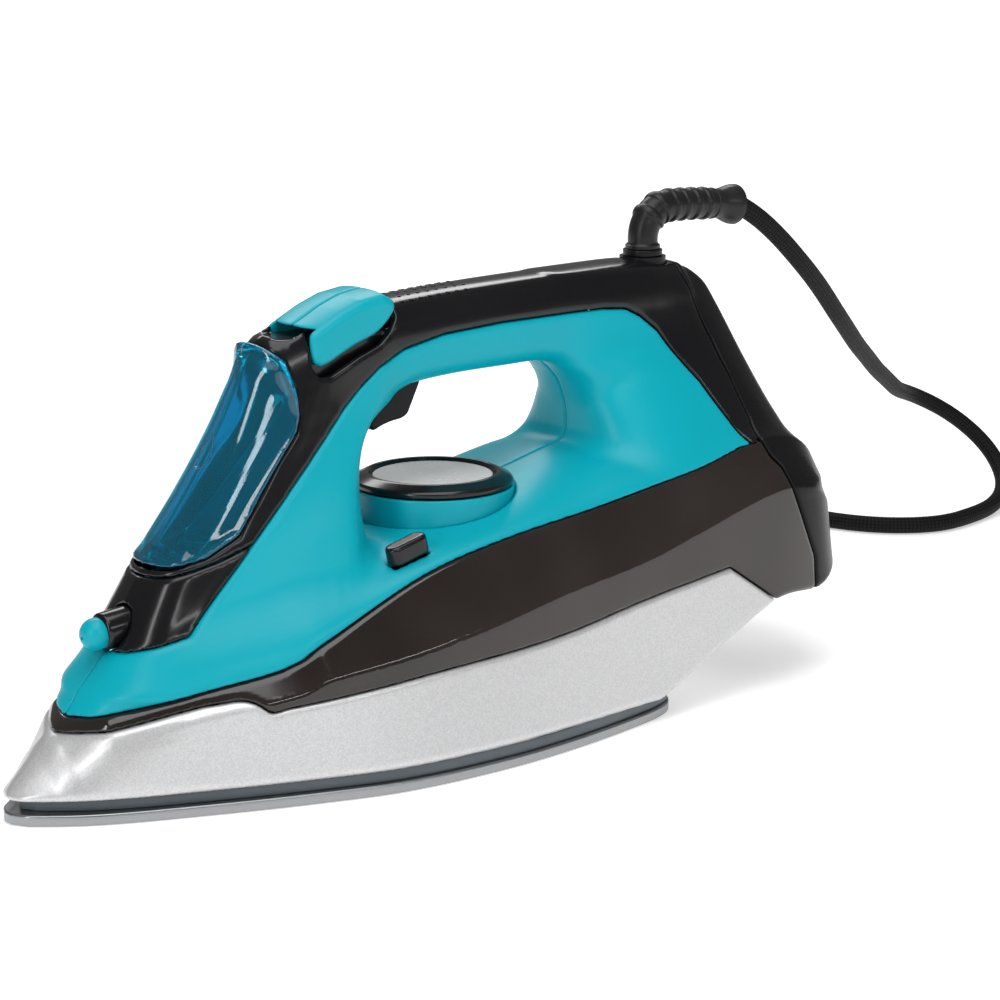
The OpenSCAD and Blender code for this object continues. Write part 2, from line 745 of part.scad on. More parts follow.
module cord_swivel() {
    color([0.07, 0.07, 0.08]) translate([swivel_x, 0, 136]) difference() {
        union() {
            cylinder(r = swivel_radius, h = guard_base - 136);
            translate([0, 0, 11.4]) cylinder(r = 6.8, h = 2.1);
        }
        translate([0, 0, -1]) cylinder(r = 3.6, h = 20);
    }
}

// A ring of points round the guard's axis, square to it.
function guard_ring(k) = let (
        before = guard_axis[max(k - 1, 0)],
        after = guard_axis[min(k + 1, len(guard_axis) - 1)],
        tip = k == 0 ? 0 : atan2(after[0] - before[0], after[1] - before[1]),
        r = guard_radius[k])
    [for (a = [0:18:342]) [
        swivel_x + guard_axis[k][0] + r * cos(a) * cos(tip),
        r * sin(a),
        guard_axis[k][1] - r * cos(a) * sin(tip)]];

module cord_guard() {
    color([0.06, 0.06, 0.07]) loft([for (k = [0:len(guard_axis) - 1]) guard_ring(k)]);
}

module cord() {
    color([0.1, 0.1, 0.1]) {
        tube(cord_route);
        tube(tail_route);
    }
}

module cord_coil() {
    color([0.1, 0.1, 0.1]) translate([coil_at[0], coil_at[1], 0]) rotate_extrude($fn = 64)
        translate([coil_hole / 2, 0]) polygon([[0, 3], [3, 0], [coil_band - 3, 0], [coil_band, 3],
            [coil_band, coil_height - 3], [coil_band - 3, coil_height], [3, coil_height],
            [0, coil_height - 3]]);
}

module cord_tie() {
    color("dimgray") translate([coil_at[0] - (coil_outside + coil_hole) / 4, coil_at[1], 0]) difference() {
        translate([-coil_band / 2 - 1.4, -4, 0]) cube([coil_band + 2.8, 8, coil_height + 1.4]);
        translate([-coil_band / 2 - 0.2, -5, -0.1]) cube([coil_band + 0.4, 10, coil_height + 0.3]);
    }
}

// The plug's length runs along +X before it is turned and tilted.
module plug_place() {
    translate(plug_tail) rotate([0, 0, plug_turn]) rotate([0, 90 - plug_tilt, 0]) children();
}

module plug() {
    color([0.09, 0.09, 0.09]) plug_place() {
        cylinder(r1 = 4.4, r2 = 6, h = 22);
        translate([0, 0, 21.9]) cylinder(r1 = 7, r2 = 16, h = 16);
        translate([0, 0, 37.8]) cylinder(r = 18.4, h = 16);
    }
}

module plug_pins() {
    color("gold") plug_place() for (s = [-1, 1]) translate([0, s * 9.5, 53.9]) cylinder(d = 4.8, h = 19);
}

soleplate();
sole_ledge();
heater_block();
heating_element();
steam_chamber_cover();
thermostat();
thermal_fuse();
skirt();
water_tank();
spindle_tube();
valve_body();
valve_needle();
housing_left();
housing_right();
handle_cover();
front_cover();
rear_cover();
rear_screws();
heel_pads();
nozzle_collar();
spray_nozzle();
filler_neck();
filler_seal();
filler_lid();
lid_knuckle();
lid_hinge_pin();
dial_collar();
dial_knob();
dial_disc();
dial_shaft();
steam_lever();
spray_button();
steam_button();
spray_pump();
steam_pump();
spray_spring();
steam_spring();
trigger();
trigger_spring();
terminal_block();
swivel_socket();
cord_swivel();
cord_guard();
cord();
cord_coil();
cord_tie();
plug();
plug_pins();
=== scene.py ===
"""Looks of the clothes iron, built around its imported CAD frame."""
import json
import math

import bmesh
import bpy
import numpy as np
from mathutils import Matrix, Vector


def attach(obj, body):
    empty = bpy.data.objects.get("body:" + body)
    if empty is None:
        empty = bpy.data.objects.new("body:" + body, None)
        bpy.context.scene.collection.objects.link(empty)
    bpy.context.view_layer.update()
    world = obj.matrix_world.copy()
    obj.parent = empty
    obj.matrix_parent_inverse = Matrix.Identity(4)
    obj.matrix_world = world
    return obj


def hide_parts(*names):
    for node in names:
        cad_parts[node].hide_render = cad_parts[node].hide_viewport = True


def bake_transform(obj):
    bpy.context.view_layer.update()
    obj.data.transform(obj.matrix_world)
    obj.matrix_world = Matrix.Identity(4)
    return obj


MM = 0.001
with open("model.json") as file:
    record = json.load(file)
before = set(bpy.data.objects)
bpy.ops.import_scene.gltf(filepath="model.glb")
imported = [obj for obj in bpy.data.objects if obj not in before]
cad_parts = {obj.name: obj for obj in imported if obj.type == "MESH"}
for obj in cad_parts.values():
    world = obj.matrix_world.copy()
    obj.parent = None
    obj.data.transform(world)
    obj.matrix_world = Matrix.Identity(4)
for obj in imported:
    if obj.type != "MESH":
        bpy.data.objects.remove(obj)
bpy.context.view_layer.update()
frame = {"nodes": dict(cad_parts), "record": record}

# ---------- driving sizes, in millimetres, as the CAD part has them ----------

SOLE_LENGTH = 240
SOLE_WIDTH = 116
SOLE_LIP = 3.5
STEAM_HOLE = 3
SKIRT_BASE = 7.5
NOSE = -SOLE_LENGTH / 2
HEEL = SOLE_LENGTH / 2
WALL = 2.4
SEAM = 0.3
HANDLE_TOP = 147
GRIP_HALF = 13.2
LEAD = 6.8
COIL_OUTSIDE = 92
SEAT_Z = 136.5
LOBE_WALL = 9.8
PUMP_X = 6
PUMP_Y = 4.1
HINGE = (-61.5, 0, 74.5)
LID_ROOM = 8.5
LID_ROOM_STRETCH = 1.53
SWIVEL_X = 138.5
SWIVEL_SOCKET = 8.2
LEVER_AT = (8.3, -32, 70.4)
LEVER_SLOPE = 14
DIAL_X = 45
DIAL_PLANE = 84.3
DIAL_RADIUS = 26.6
DIAL_RIM = 3.4
COLLAR_RADIUS = 27
NOZZLE_AT = (-87, 0, 53)
NOZZLE_AXIS = (math.sin(math.radians(84)), 0, math.cos(math.radians(84)))

# Rails of the body: half widths and heights along X.
SOLE_SHAPE = [(NOSE, 0.03), (NOSE + 3, 0.12), (NOSE + 20, 0.34), (NOSE + 50, 0.58), (-40, 0.785),
              (-10, 0.945), (28, 1), (60, 0.97), (92, 0.885), (106, 0.82), (113, 0.73), (117.5, 0.58),
              (HEEL, 0.3)]
SIDE_LOW = [(NOSE - 1, 0.6), (NOSE + 3, 7), (NOSE + 20, 19.8), (NOSE + 50, 33.6), (-40, 45.5), (-10, 54.8),
            (28, 58), (60, 56.3), (100, 53), (150, 50), (180, 47), (193, 41.5), (201, 32), (205, 20),
            (207, 7)]
EDGE_HIGH = [(NOSE + 16, 1.5), (NOSE + 25, 12), (-69, 26.5), (-41, 37.5), (-30, 40), (8, 40.5), (60, 40.5),
             (140, 40.5), (165, 40), (180, 37), (193, 30), (202, 16), (207, 3)]
BASE_Z = [(NOSE, SKIRT_BASE), (98, SKIRT_BASE), (102, 8), (158, 31), (184, 31.5), (198, 36.5), (207, 45.5)]
SHOULDER_Z = [(NOSE + 16, 26.5), (NOSE + 25, 29), (-69, 35), (-41, 40.5), (-32, 45), (4, 51), (56, 61),
              (91, 65.5), (118, 70.5), (161, 77.5), (180, 74), (193, 65), (207, 50.5)]
EDGE_Z = [(NOSE + 16, 28), (NOSE + 25, 30.5), (-69, 36.5), (-41, 42), (-32, 47), (8, 62.5), (41, 69),
          (84, 74), (129, 80.5), (150, 85), (166, 86), (182, 81), (195, 70), (207, 51.5)]
CREST_Z = [(NOSE - 1, SKIRT_BASE + 1), (NOSE + 13, 22.5), (NOSE + 18, 27), (NOSE + 22, 31.5),
           (NOSE + 34, 42.5), (-69, 56), (-41, 64), (0, 69), (18, 71.5), (45, 76.5), (75, 82), (100, 87),
           (160, 89), (174, 87.5), (191, 77), (202, 61.5), (207, 52)]

# Upright slices of the front arm and the rear column, against height.
ARM_TIP = [(36, -94), (44, -87), (60, -77), (73, -68.5), (90, -55), (107, -43), (122, -34.5), (132, -29),
           (138, -22), (141, -12)]
ARM_FRONT = [(36, 25), (44, 22.5), (60, 19), (73, 17.5), (90, 16.5), (107, 15.5), (122, 14), (132, 12.5),
             (141, 10)]
ARM_WIDE = [(36, 41), (44, 39.5), (52, 36), (60, 32), (73, 26.5), (80, 23.5), (90, 20), (100, 17.5),
            (110, 15.5), (120, 14), (132, 12.8), (141, 10.5)]
ARM_WIDE_X = [(36, -32), (60, -20), (73, -14), (90, -8), (110, 2), (130, 8), (141, 8)]
ARM_BACK = [(36, 10), (60, 9), (73, 3.5), (90, 3.5), (101, 5.5), (108, 11), (114, 20), (141, 22)]
COLUMN_FRONT = [(68, 93), (80, 99), (90, 103), (100, 103), (108, 101.5), (115, 96), (145, 92)]
COLUMN_HALF = [(68, 42), (80, 39.3), (88, 35), (96, 29.5), (104, 24.5), (112, 20), (120, 16.5), (130, 13.6),
               (138, 12), (145.5, 8)]
COLUMN_REAR = [(68, 200), (80, 190.5), (90, 185.5), (100, 181.5), (110, 177.5), (120, 173), (130, 167.5),
               (137, 162.5), (142, 156), (145.5, 150)]
GRIP_LOW = [(-24, 112), (8, 107), (16, 111.5), (30, 117), (75, 118.2), (87, 117.5), (97, 113.5), (105, 103),
            (150, 100)]
GRIP_HIGH = [(-24, -11), (-10, -7), (5, -4), (30, -1.8), (60, -0.6), (110, 0), (132, -0.3), (148, -2.5)]

# Lines between the covers, seen from the side.
SKIRT_TOP = [(NOSE - 5, 12), (NOSE + 12, 24), (NOSE + 22, 26), (-70, 32.5), (-58, 33.8), (-54, 32.8),
             (-50, 29.8), (-45, 30.5), (0, 35), (56, 38), (91, 42), (135, 46.5)]
BAND_LINE = [(-92, 43.5), (-87, 46), (-79, 49), (-66, 52.3), (-61, 57), (-2, 114), (4, 119), (13, 125),
             (24, 129.5), (40, 132.4), (64, 133.5), (108, 133.5), (118, 132.5), (124, 129.5), (131, 124),
             (144, 106), (150, 93), (153, 85)]
REAR_SEAM = [(146.5, 160), (146.5, 141), (149, 136), (152, 129), (156, 118), (159, 106), (160, 92),
             (157.5, 86), (160, 80.5), (164.5, 76), (179, 43), (179, 20)]
LID_LINE = [(-75, 71.5), (-66, 72), (-56, 74.5), (-45, 80), (-28, 101.5), (-21.5, 109), (-20, 114),
            (-20.5, 122), (-23, 131), (-28, 136), (-36, 140)]
FRONT_SEAM = [(-80, 67.5), (-68, 69), (-52, 73), (-40.5, 76.8)]
BUTTON_FRONT = -12.5
BUTTON_BACK = 20.5
BUTTON_HALF = 12.8
BUTTON_LOBE = 2.4
BUTTON_CROWN = 0.011
BUTTON_GAP = 0.6
BUTTON_SIDE = [(BUTTON_FRONT, 139.5), (BUTTON_FRONT, 131), (-10.5, 128), (-6.5, 128), (3.6, 132.4),
               (12.6, 135.4), (17.6, 139), (BUTTON_BACK, 143), (20, 147), (16, 149), (7, 147.8), (-1, 145),
               (-9, 141.2)]


# ---------- curves and fields ----------


def curve(table, x):
    """A table of (x, value) pairs read as one smooth curve."""
    xs = np.array([p[0] for p in table], float)
    vs = np.array([p[1] for p in table], float)
    slope = np.empty_like(vs)
    slope[1:-1] = (vs[2:] - vs[:-2]) / (xs[2:] - xs[:-2])
    slope[0] = (vs[1] - vs[0]) / (xs[1] - xs[0])
    slope[-1] = (vs[-1] - vs[-2]) / (xs[-1] - xs[-2])
    x = np.asarray(x, float)
    i = np.clip(np.searchsorted(xs, x, side="right") - 1, 0, len(xs) - 2)
    h = xs[i + 1] - xs[i]
    u = np.clip((x - xs[i]) / h, 0, 1)
    return ((2 * u**3 - 3 * u**2 + 1) * vs[i] + (u**3 - 2 * u**2 + u) * slope[i] * h
            + (3 * u**2 - 2 * u**3) * vs[i + 1] + (u**3 - u**2) * slope[i + 1] * h)


def smooth_ring(points, steps=5):
    """A closed Catmull-Rom curve through points."""
    p = np.array(points, float)
    a, b, c, d = np.roll(p, 1, 0), p, np.roll(p, -1, 0), np.roll(p, -2, 0)
    u = (np.arange(steps) / steps)[None, :, None]
    a, b, c, d = a[:, None], b[:, None], c[:, None], d[:, None]
    ring = 0.5 * (2 * b + (c - a) * u + (2 * a - 5 * b + 4 * c - d) * u**2 + (3 * b - 3 * c + d - a) * u**3)
    return ring.reshape(-1, 2)


def mirrored(half):
    """A closed outline from its right half, mirrored in its first coordinate."""
    half = np.array(half, float)
    left = half[::-1].copy()
    left[:, 0] *= -1
    return np.concatenate([half, left])


def outline_distance(outline, p, q):
    """Signed distance from points (p, q) to a closed outline: negative inside."""
    a = np.asarray(outline, float)
    b = np.roll(a, -1, 0)
    best = np.full(p.shape, 1e9)
    inside = np.zeros(p.shape, bool)
    for (ax, ay), (bx, by) in zip(a, b):
        ex, ey = bx - ax, by - ay
        long2 = ex * ex + ey * ey
        if long2 < 1e-12:
            continue
        wx, wy = p - ax, q - ay
        t = np.clip((wx * ex + wy * ey) / long2, 0, 1)
        np.minimum(best, (wx - t * ex) ** 2 + (wy - t * ey) ** 2, out=best)
        if ay != by:
            crosses = ((ay > q) != (by > q)) & (p < ex * (q - ay) / ey + ax)
            inside ^= crosses
    best = np.sqrt(best)
    return np.where(inside, -best, best)


def join(a, b, k):
    """Union of two fields with a fillet of about k."""
    h = np.maximum(k - np.abs(a - b), 0) / k
    return np.minimum(a, b) - h * h * k / 4


def meet(a, b, k):
    """Intersection of two fields with an edge rounded over about k."""
    return -join(-a, -b, k)


def true_scale(f, step):
    """A field rescaled so that it grows by one a millimetre near its surface."""
    gx, gy, gz = np.gradient(f, step)
    return f / np.clip(np.sqrt(gx * gx + gy * gy + gz * gz), 0.75, 4)


STEP = 0.8
GRID_X = np.arange(-124, 211, STEP)
GRID_Y = np.arange(-76, 77) * STEP
GRID_Z = np.arange(2, 155, STEP)


def body_outline(x):
    low = max(float(curve(SIDE_LOW, x)), 0.3)
    high = min(max(float(curve(EDGE_HIGH, x)), 0.15), low * 0.93)
    base, edge, mid = (float(curve(t, x)) for t in (BASE_Z, EDGE_Z, SHOULDER_Z))
    crest = max(float(curve(CREST_Z, x)), base + 0.4)
    rise = crest - base
    turn = np.linspace(0, math.pi / 2, 16)
    wall = np.array([(low - 1, base), (low, base + 1.5),
                     (high + (low - high) * 0.72, base + (mid - base) * 0.82), (high, edge)])
    side = np.array([(np.interp(u, [0, 1, 2, 3], wall[:, 0]), np.interp(u, [0, 1, 2, 3], wall[:, 1]))
                     for u in np.linspace(0, 3, 13)])
    top = np.stack([high * np.cos(turn), edge + (crest - edge) * np.sin(turn) ** 1.1], 1)[1:]
    late = np.concatenate([side, top])
    corner = np.array([(low - min(1, low / 3), base), (low, base + min(1.5, rise * 0.2)),
                       (low * 0.75, base + rise * 0.45), (low * 0.45, base + rise * 0.75),
                       (low * 0.2, base + rise * 0.93), (0.0, crest)])
    spots = np.linspace(0, 5, len(late))
    early = np.stack([np.interp(spots, range(6), corner[:, 0]), np.interp(spots, range(6), corner[:, 1])], 1)
    share = np.clip((x - (NOSE + 10)) / 16, 0, 1)
    half = early * (1 - share) + late * share
    soft = np.clip((NOSE + 46 - x) / 20, 0, 1)
    for _ in range(5):
        half[1:-1] += soft * (half[:-2] + half[2:] - 2 * half[1:-1]) / 4
    return mirrored(half)


def arm_outline(z):
    tables = (ARM_TIP, ARM_FRONT, ARM_WIDE, ARM_WIDE_X, ARM_BACK)
    tip, front, wide, wide_x, back = (float(curve(t, z)) for t in tables)
    half = [(0.05, tip), (front * 0.45, tip + 1.8), (front * 0.78, tip + 7), (front, tip + 19),
            (wide, wide_x), (wide * 0.93, (wide_x + back) / 2 + 2), (wide * 0.6, back), (0.05, back)]
    return smooth_ring(mirrored(half))


def column_outline(z):
    front, half, rear = (float(curve(t, z)) for t in (COLUMN_FRONT, COLUMN_HALF, COLUMN_REAR))
    ring = [(0.05, front), (half * 0.55, front + 1), (half * 0.85, front + 9), (half, front + 26),
            (half, rear - 24), (half * 0.9, rear - 12), (half * 0.65, rear - 3), (half * 0.3, rear),
            (0.05, rear)]
    return smooth_ring(mirrored(ring))


def grip_outline(x):
    low = float(curve(GRIP_LOW, x))
    top = HANDLE_TOP + float(curve(GRIP_HIGH, x))
    half = GRIP_HALF * float(np.interp(x, (-10, 0, 132, 141), (0.85, 1, 1, 0.9)))
    ring = [(0.05, low), (half * 0.6, low), (half * 0.92, low + 3.2), (half, low + 9), (half * 0.97, top - 9),
            (half * 0.72, top - 2.4), (half * 0.4, top - 0.5), (0.05, top)]
    return smooth_ring(mirrored(ring))


def swept_field(outline_at, along, low, high):
    """Field of a shape given by one outline per slice, along X or Z, on the right half of the grid."""
    right = GRID_Y[GRID_Y >= -STEP / 2]
    if along == "x":
        yy, zz = np.meshgrid(right, GRID_Z, indexing="ij")
        slices = [outline_distance(outline_at(min(max(x, low), high)), yy, zz) for x in GRID_X]
        f = np.stack(slices, 0)
        beyond = np.maximum(low - GRID_X, GRID_X - high)[:, None, None]
    else:
        xx, yy = np.meshgrid(GRID_X, right, indexing="ij")
        wanted = [z for z in GRID_Z if low - 12 <= z <= high + 12]
        done = {z: outline_distance(outline_at(min(max(z, low), high)), yy, xx) for z in wanted}
        far = np.full(xx.shape, 50.0)
        f = np.stack([done.get(z, far) for z in GRID_Z], 2)
        beyond = np.maximum(low - GRID_Z, GRID_Z - high)[None, None, :]
    f = meet(f, np.broadcast_to(beyond, f.shape), 2.5)
    return np.concatenate([f[:, :0:-1], f], 1).astype(np.float32)


def build_envelope():
    body = swept_field(body_outline, "x", NOSE - 1, 206.5)
    arm = swept_field(arm_outline, "z", 36, 141)
    column = swept_field(column_outline, "z", 68, 143)
    grip = swept_field(grip_outline, "x", -20, 148)
    whole = join(body, join(join(arm, grip, 3), column, 6), 5)
    return [true_scale(f, STEP) for f in (body, arm, whole)]


def net(f, origin, step):
    """Surface nets: a vertex in each cell that the surface crosses, a face on each edge that it crosses."""
    inside = f < 0
    corners = [(i, j, k) for i in (0, 1) for j in (0, 1) for k in (0, 1)]
    shape = tuple(n - 1 for n in f.shape)
    part = [slice(None, -1), slice(1, None)]
    count = sum(inside[part[i], part[j], part[k]].astype(np.int8) for i, j, k in corners)
    active = (count > 0) & (count < 8)
    index = -np.ones(shape, np.int32)
    cells = np.argwhere(active)
    index[active] = np.arange(len(cells))
    total = np.zeros((len(cells), 3))
    hits = np.zeros(len(cells))
    for c in corners:
        for axis in range(3):
            if c[axis]:
                continue
            d = list(c)
            d[axis] = 1
            p, q = cells + np.array(c), cells + np.array(d)
            fp, fq = f[tuple(p.T)], f[tuple(q.T)]
            cut = (fp < 0) != (fq < 0)
            t = np.where(cut, fp / np.where(cut, fp - fq, 1), 0)
            total += np.where(cut[:, None], np.array(c) + t[:, None] * (np.array(d) - np.array(c)), 0)
            hits += cut
    points = cells + total / hits[:, None]
    faces = []
    for axis in range(3):
        u, v = (axis + 1) % 3, (axis + 2) % 3
        low = [slice(1, -1)] * 3
        low[axis] = slice(0, -1)
        high = list(low)
        high[axis] = slice(1, None)
        start, end = inside[tuple(low)], inside[tuple(high)]
        at = np.argwhere(start != end)
        outward = start[tuple(at.T)]
        at = at + 1
        at[:, axis] -= 1
        eu, ev = np.zeros(3, int), np.zeros(3, int)
        eu[u], ev[v] = 1, 1
        quad = np.stack([index[tuple((at - s).T)] for s in (eu + ev, ev, 0 * eu, eu)], 1)
        quad[~outward] = quad[~outward][:, ::-1]
        faces.append(quad)
    faces = np.concatenate(faces)
    return points * step + np.array(origin), faces


def sample(f, origin, step, points):
    """A field read at points, by trilinear interpolation."""
    g = (points - np.array(origin)) / step
    i = np.clip(np.floor(g).astype(int), 0, np.array(f.shape) - 2)
    t = g - i
    value = 0
    for a in (0, 1):
        for b in (0, 1):
            for c in (0, 1):
                weight = (np.abs(1 - a - t[:, 0]) * np.abs(1 - b - t[:, 1]) * np.abs(1 - c - t[:, 2]))
                value = value + weight * f[i[:, 0] + a, i[:, 1] + b, i[:, 2] + c]
    return value


def add_mesh(name, points, faces, normals=None):
    """A mesh object from points in millimetres."""
    mesh = bpy.data.meshes.new(name)
    points = np.asarray(points, np.float32) * MM
    faces = np.asarray(faces, np.int32)
    sides = faces.shape[1]
    mesh.vertices.add(len(points))
    mesh.vertices.foreach_set("co", points.ravel())
    mesh.loops.add(faces.size)
    mesh.loops.foreach_set("vertex_index", faces.ravel())
    mesh.polygons.add(len(faces))
    mesh.polygons.foreach_set("loop_start", np.arange(0, faces.size, sides, dtype=np.int32))
    mesh.update(calc_edges=True)
    mesh.validate()
    mesh.polygons.foreach_set("use_smooth", np.ones(len(mesh.polygons), bool))
    if normals is not None and len(mesh.vertices) == len(normals):
        mesh.normals_split_custom_set_from_vertices(normals.tolist())
    obj = bpy.data.objects.new(name, mesh)
    bpy.context.scene.collection.objects.link(obj)
    return obj


def solid(name, f, origin, step):
    """A mesh object of a field's inside, with the field's own smooth normals."""
    points, faces = net(f, origin, step)
    gradient = np.gradient(f, step)
    n = np.stack([sample(g, origin, step, points) for g in gradient], 1)
    n /= np.maximum(np.linalg.norm(n, axis=1), 1e-9)[:, None]
    offset = sample(f, origin, step, points)
    points = points - n * np.clip(offset, -step / 3, step / 3)[:, None]
    return add_mesh(name, points, faces, n)


# ---------- materials ----------

GRAIN_DEPTH = 0.00002


def node(tree, kind, **values):
    made = tree.nodes.new(kind)
    for key, value in values.items():
        if key in made.inputs:
            made.inputs[key].default_value = value
        else:
            setattr(made, key, value)
    return made


def chain(tree, *stops):
    """Links nodes in a row: a node, its output, the next one's input, that node, and so on."""
    for source, output, label, target in zip(stops[::3], stops[1::3], stops[2::3], stops[3::3]):
        tree.links.new(source.outputs[output], target.inputs[label])


def base_material(name, color, roughness, **sockets):
    """A Principled material; sockets are given by their labels with _ for a space."""
    material = bpy.data.materials.new(name)
    material.use_nodes = True
    shader = material.node_tree.nodes["Principled BSDF"]
    shader.inputs["Base Color"].default_value = (*color, 1)
    shader.inputs["Roughness"].default_value = roughness
    for label, value in sockets.items():
        shader.inputs[label.replace("_", " ")].default_value = value
    return material


def parts_of(material):
    """A material's tree and shader, and a new Texture Coordinate node in it."""
    tree = material.node_tree
    return tree, tree.nodes["Principled BSDF"], node(tree, "ShaderNodeTexCoord")


def map_range(tree, low, high):
    spread = node(tree, "ShaderNodeMapRange")
    spread.inputs["To Min"].default_value = low
    spread.inputs["To Max"].default_value = high
    return spread


def color_ramp(tree, first, last, start=0, end=1):
    ramp = node(tree, "ShaderNodeValToRGB")
    for element, color, position in zip(ramp.color_ramp.elements, (first, last), (start, end)):
        element.color = (*color, 1)
        element.position = position
    return ramp


def add_grain(material, scale, strength, vary=0.04):
    """Fine moulding grain in the bump, and a slow change of roughness over the surface."""
    tree, shader, place = parts_of(material)
    grain = node(tree, "ShaderNodeTexNoise", Scale=scale, Detail=3.0)
    bump = node(tree, "ShaderNodeBump", Strength=strength, Distance=GRAIN_DEPTH)
    chain(tree, place, "Object", "Vector", grain, "Fac", "Height", bump, "Normal", "Normal", shader)
    cloud = node(tree, "ShaderNodeTexNoise", Scale=38.0, Detail=4.0)
    rough = shader.inputs["Roughness"].default_value
    spread = map_range(tree, max(rough - vary, 0.02), rough + vary)
    chain(tree, place, "Object", "Vector", cloud, "Fac", "Value", spread, "Result", "Roughness", shader)
    return material


def add_tint(material, dark, light, scale):
    """A slight, slow change of colour, as moulded colour has."""
    tree, shader, place = parts_of(material)
    cloud = node(tree, "ShaderNodeTexNoise", Scale=scale, Detail=2.0)
    ramp = color_ramp(tree, dark, light, 0.3, 0.7)
    chain(tree, place, "Object", "Vector", cloud, "Fac", "Fac", ramp, "Color", "Base Color", shader)
    return material


def sparkle_material():
    """Silver moulding with metal flake in it."""
    material = base_material("silver_flake", (0.5, 0.5, 0.515), 0.38, Metallic=0.5, Coat_Weight=0.3,
                             Coat_Roughness=0.12)
    tree, shader, place = parts_of(material)
    flake = node(tree, "ShaderNodeTexVoronoi", Scale=2600.0)
    split = node(tree, "ShaderNodeSeparateColor")
    ramp = color_ramp(tree, (0.56, 0.56, 0.57), (0.68, 0.68, 0.685))
    chain(tree, place, "Object", "Vector", flake, "Color", "Color", split, "Red", "Fac", ramp,
          "Color", "Base Color", shader)
    bump = node(tree, "ShaderNodeBump", Strength=0.08, Distance=GRAIN_DEPTH)
    chain(tree, split, "Green", "Height", bump, "Normal", "Normal", shader)
    return material


def brushed_material(name, color, roughness, stretch):
    """Metal with a fine directional grain."""
    material = base_material(name, color, roughness, Metallic=1.0)
    tree, shader, place = parts_of(material)
    long = node(tree, "ShaderNodeMapping")
    long.inputs["Scale"].default_value = stretch
    grain = node(tree, "ShaderNodeTexNoise", Scale=500.0, Detail=4.0)
    spread = map_range(tree, roughness * 0.7, roughness * 1.5)
    chain(tree, place, "Object", "Vector", long, "Vector", "Vector", grain, "Fac", "Value", spread,
          "Result", "Roughness", shader)
    bump = node(tree, "ShaderNodeBump", Strength=0.12, Distance=GRAIN_DEPTH)
    chain(tree, grain, "Fac", "Height", bump, "Normal", "Normal", shader)
    return material


def braid_material():
    """Black yarn, woven over and under in two slanting sets, from the tube's own UV map."""
    material = base_material("black_braid", (0.01, 0.01, 0.011), 0.6, Specular_IOR_Level=0.08)
    tree, shader, place = parts_of(material)
    split = node(tree, "ShaderNodeSeparateXYZ")
    weave = node(tree, "ShaderNodeMath", operation="MULTIPLY")
    chain(tree, place, "UV", "Vector", split)
    for k, operation in enumerate(("ADD", "SUBTRACT")):
        mix = node(tree, "ShaderNodeMath", operation=operation)
        wave = node(tree, "ShaderNodeMath", operation="SINE")
        chain(tree, split, "X", 0, mix, "Value", 0, wave, "Value", k, weave)
        chain(tree, split, "Y", 1, mix)
    spread = map_range(tree, 0, 1)
    spread.inputs["From Min"].default_value = -1
    # The yarn's colour follows the weave's height, darker where the yarn dips under: painted shade in the
    # weave's hollows.
    ramp = color_ramp(tree, (0.003, 0.003, 0.0035), (0.017, 0.017, 0.018))
    chain(tree, weave, "Value", "Value", spread, "Result", "Fac", ramp, "Color", "Base Color", shader)
    bump = node(tree, "ShaderNodeBump", Strength=0.7, Distance=0.00025)
    chain(tree, spread, "Result", "Height", bump, "Normal", "Normal", shader)
    return material


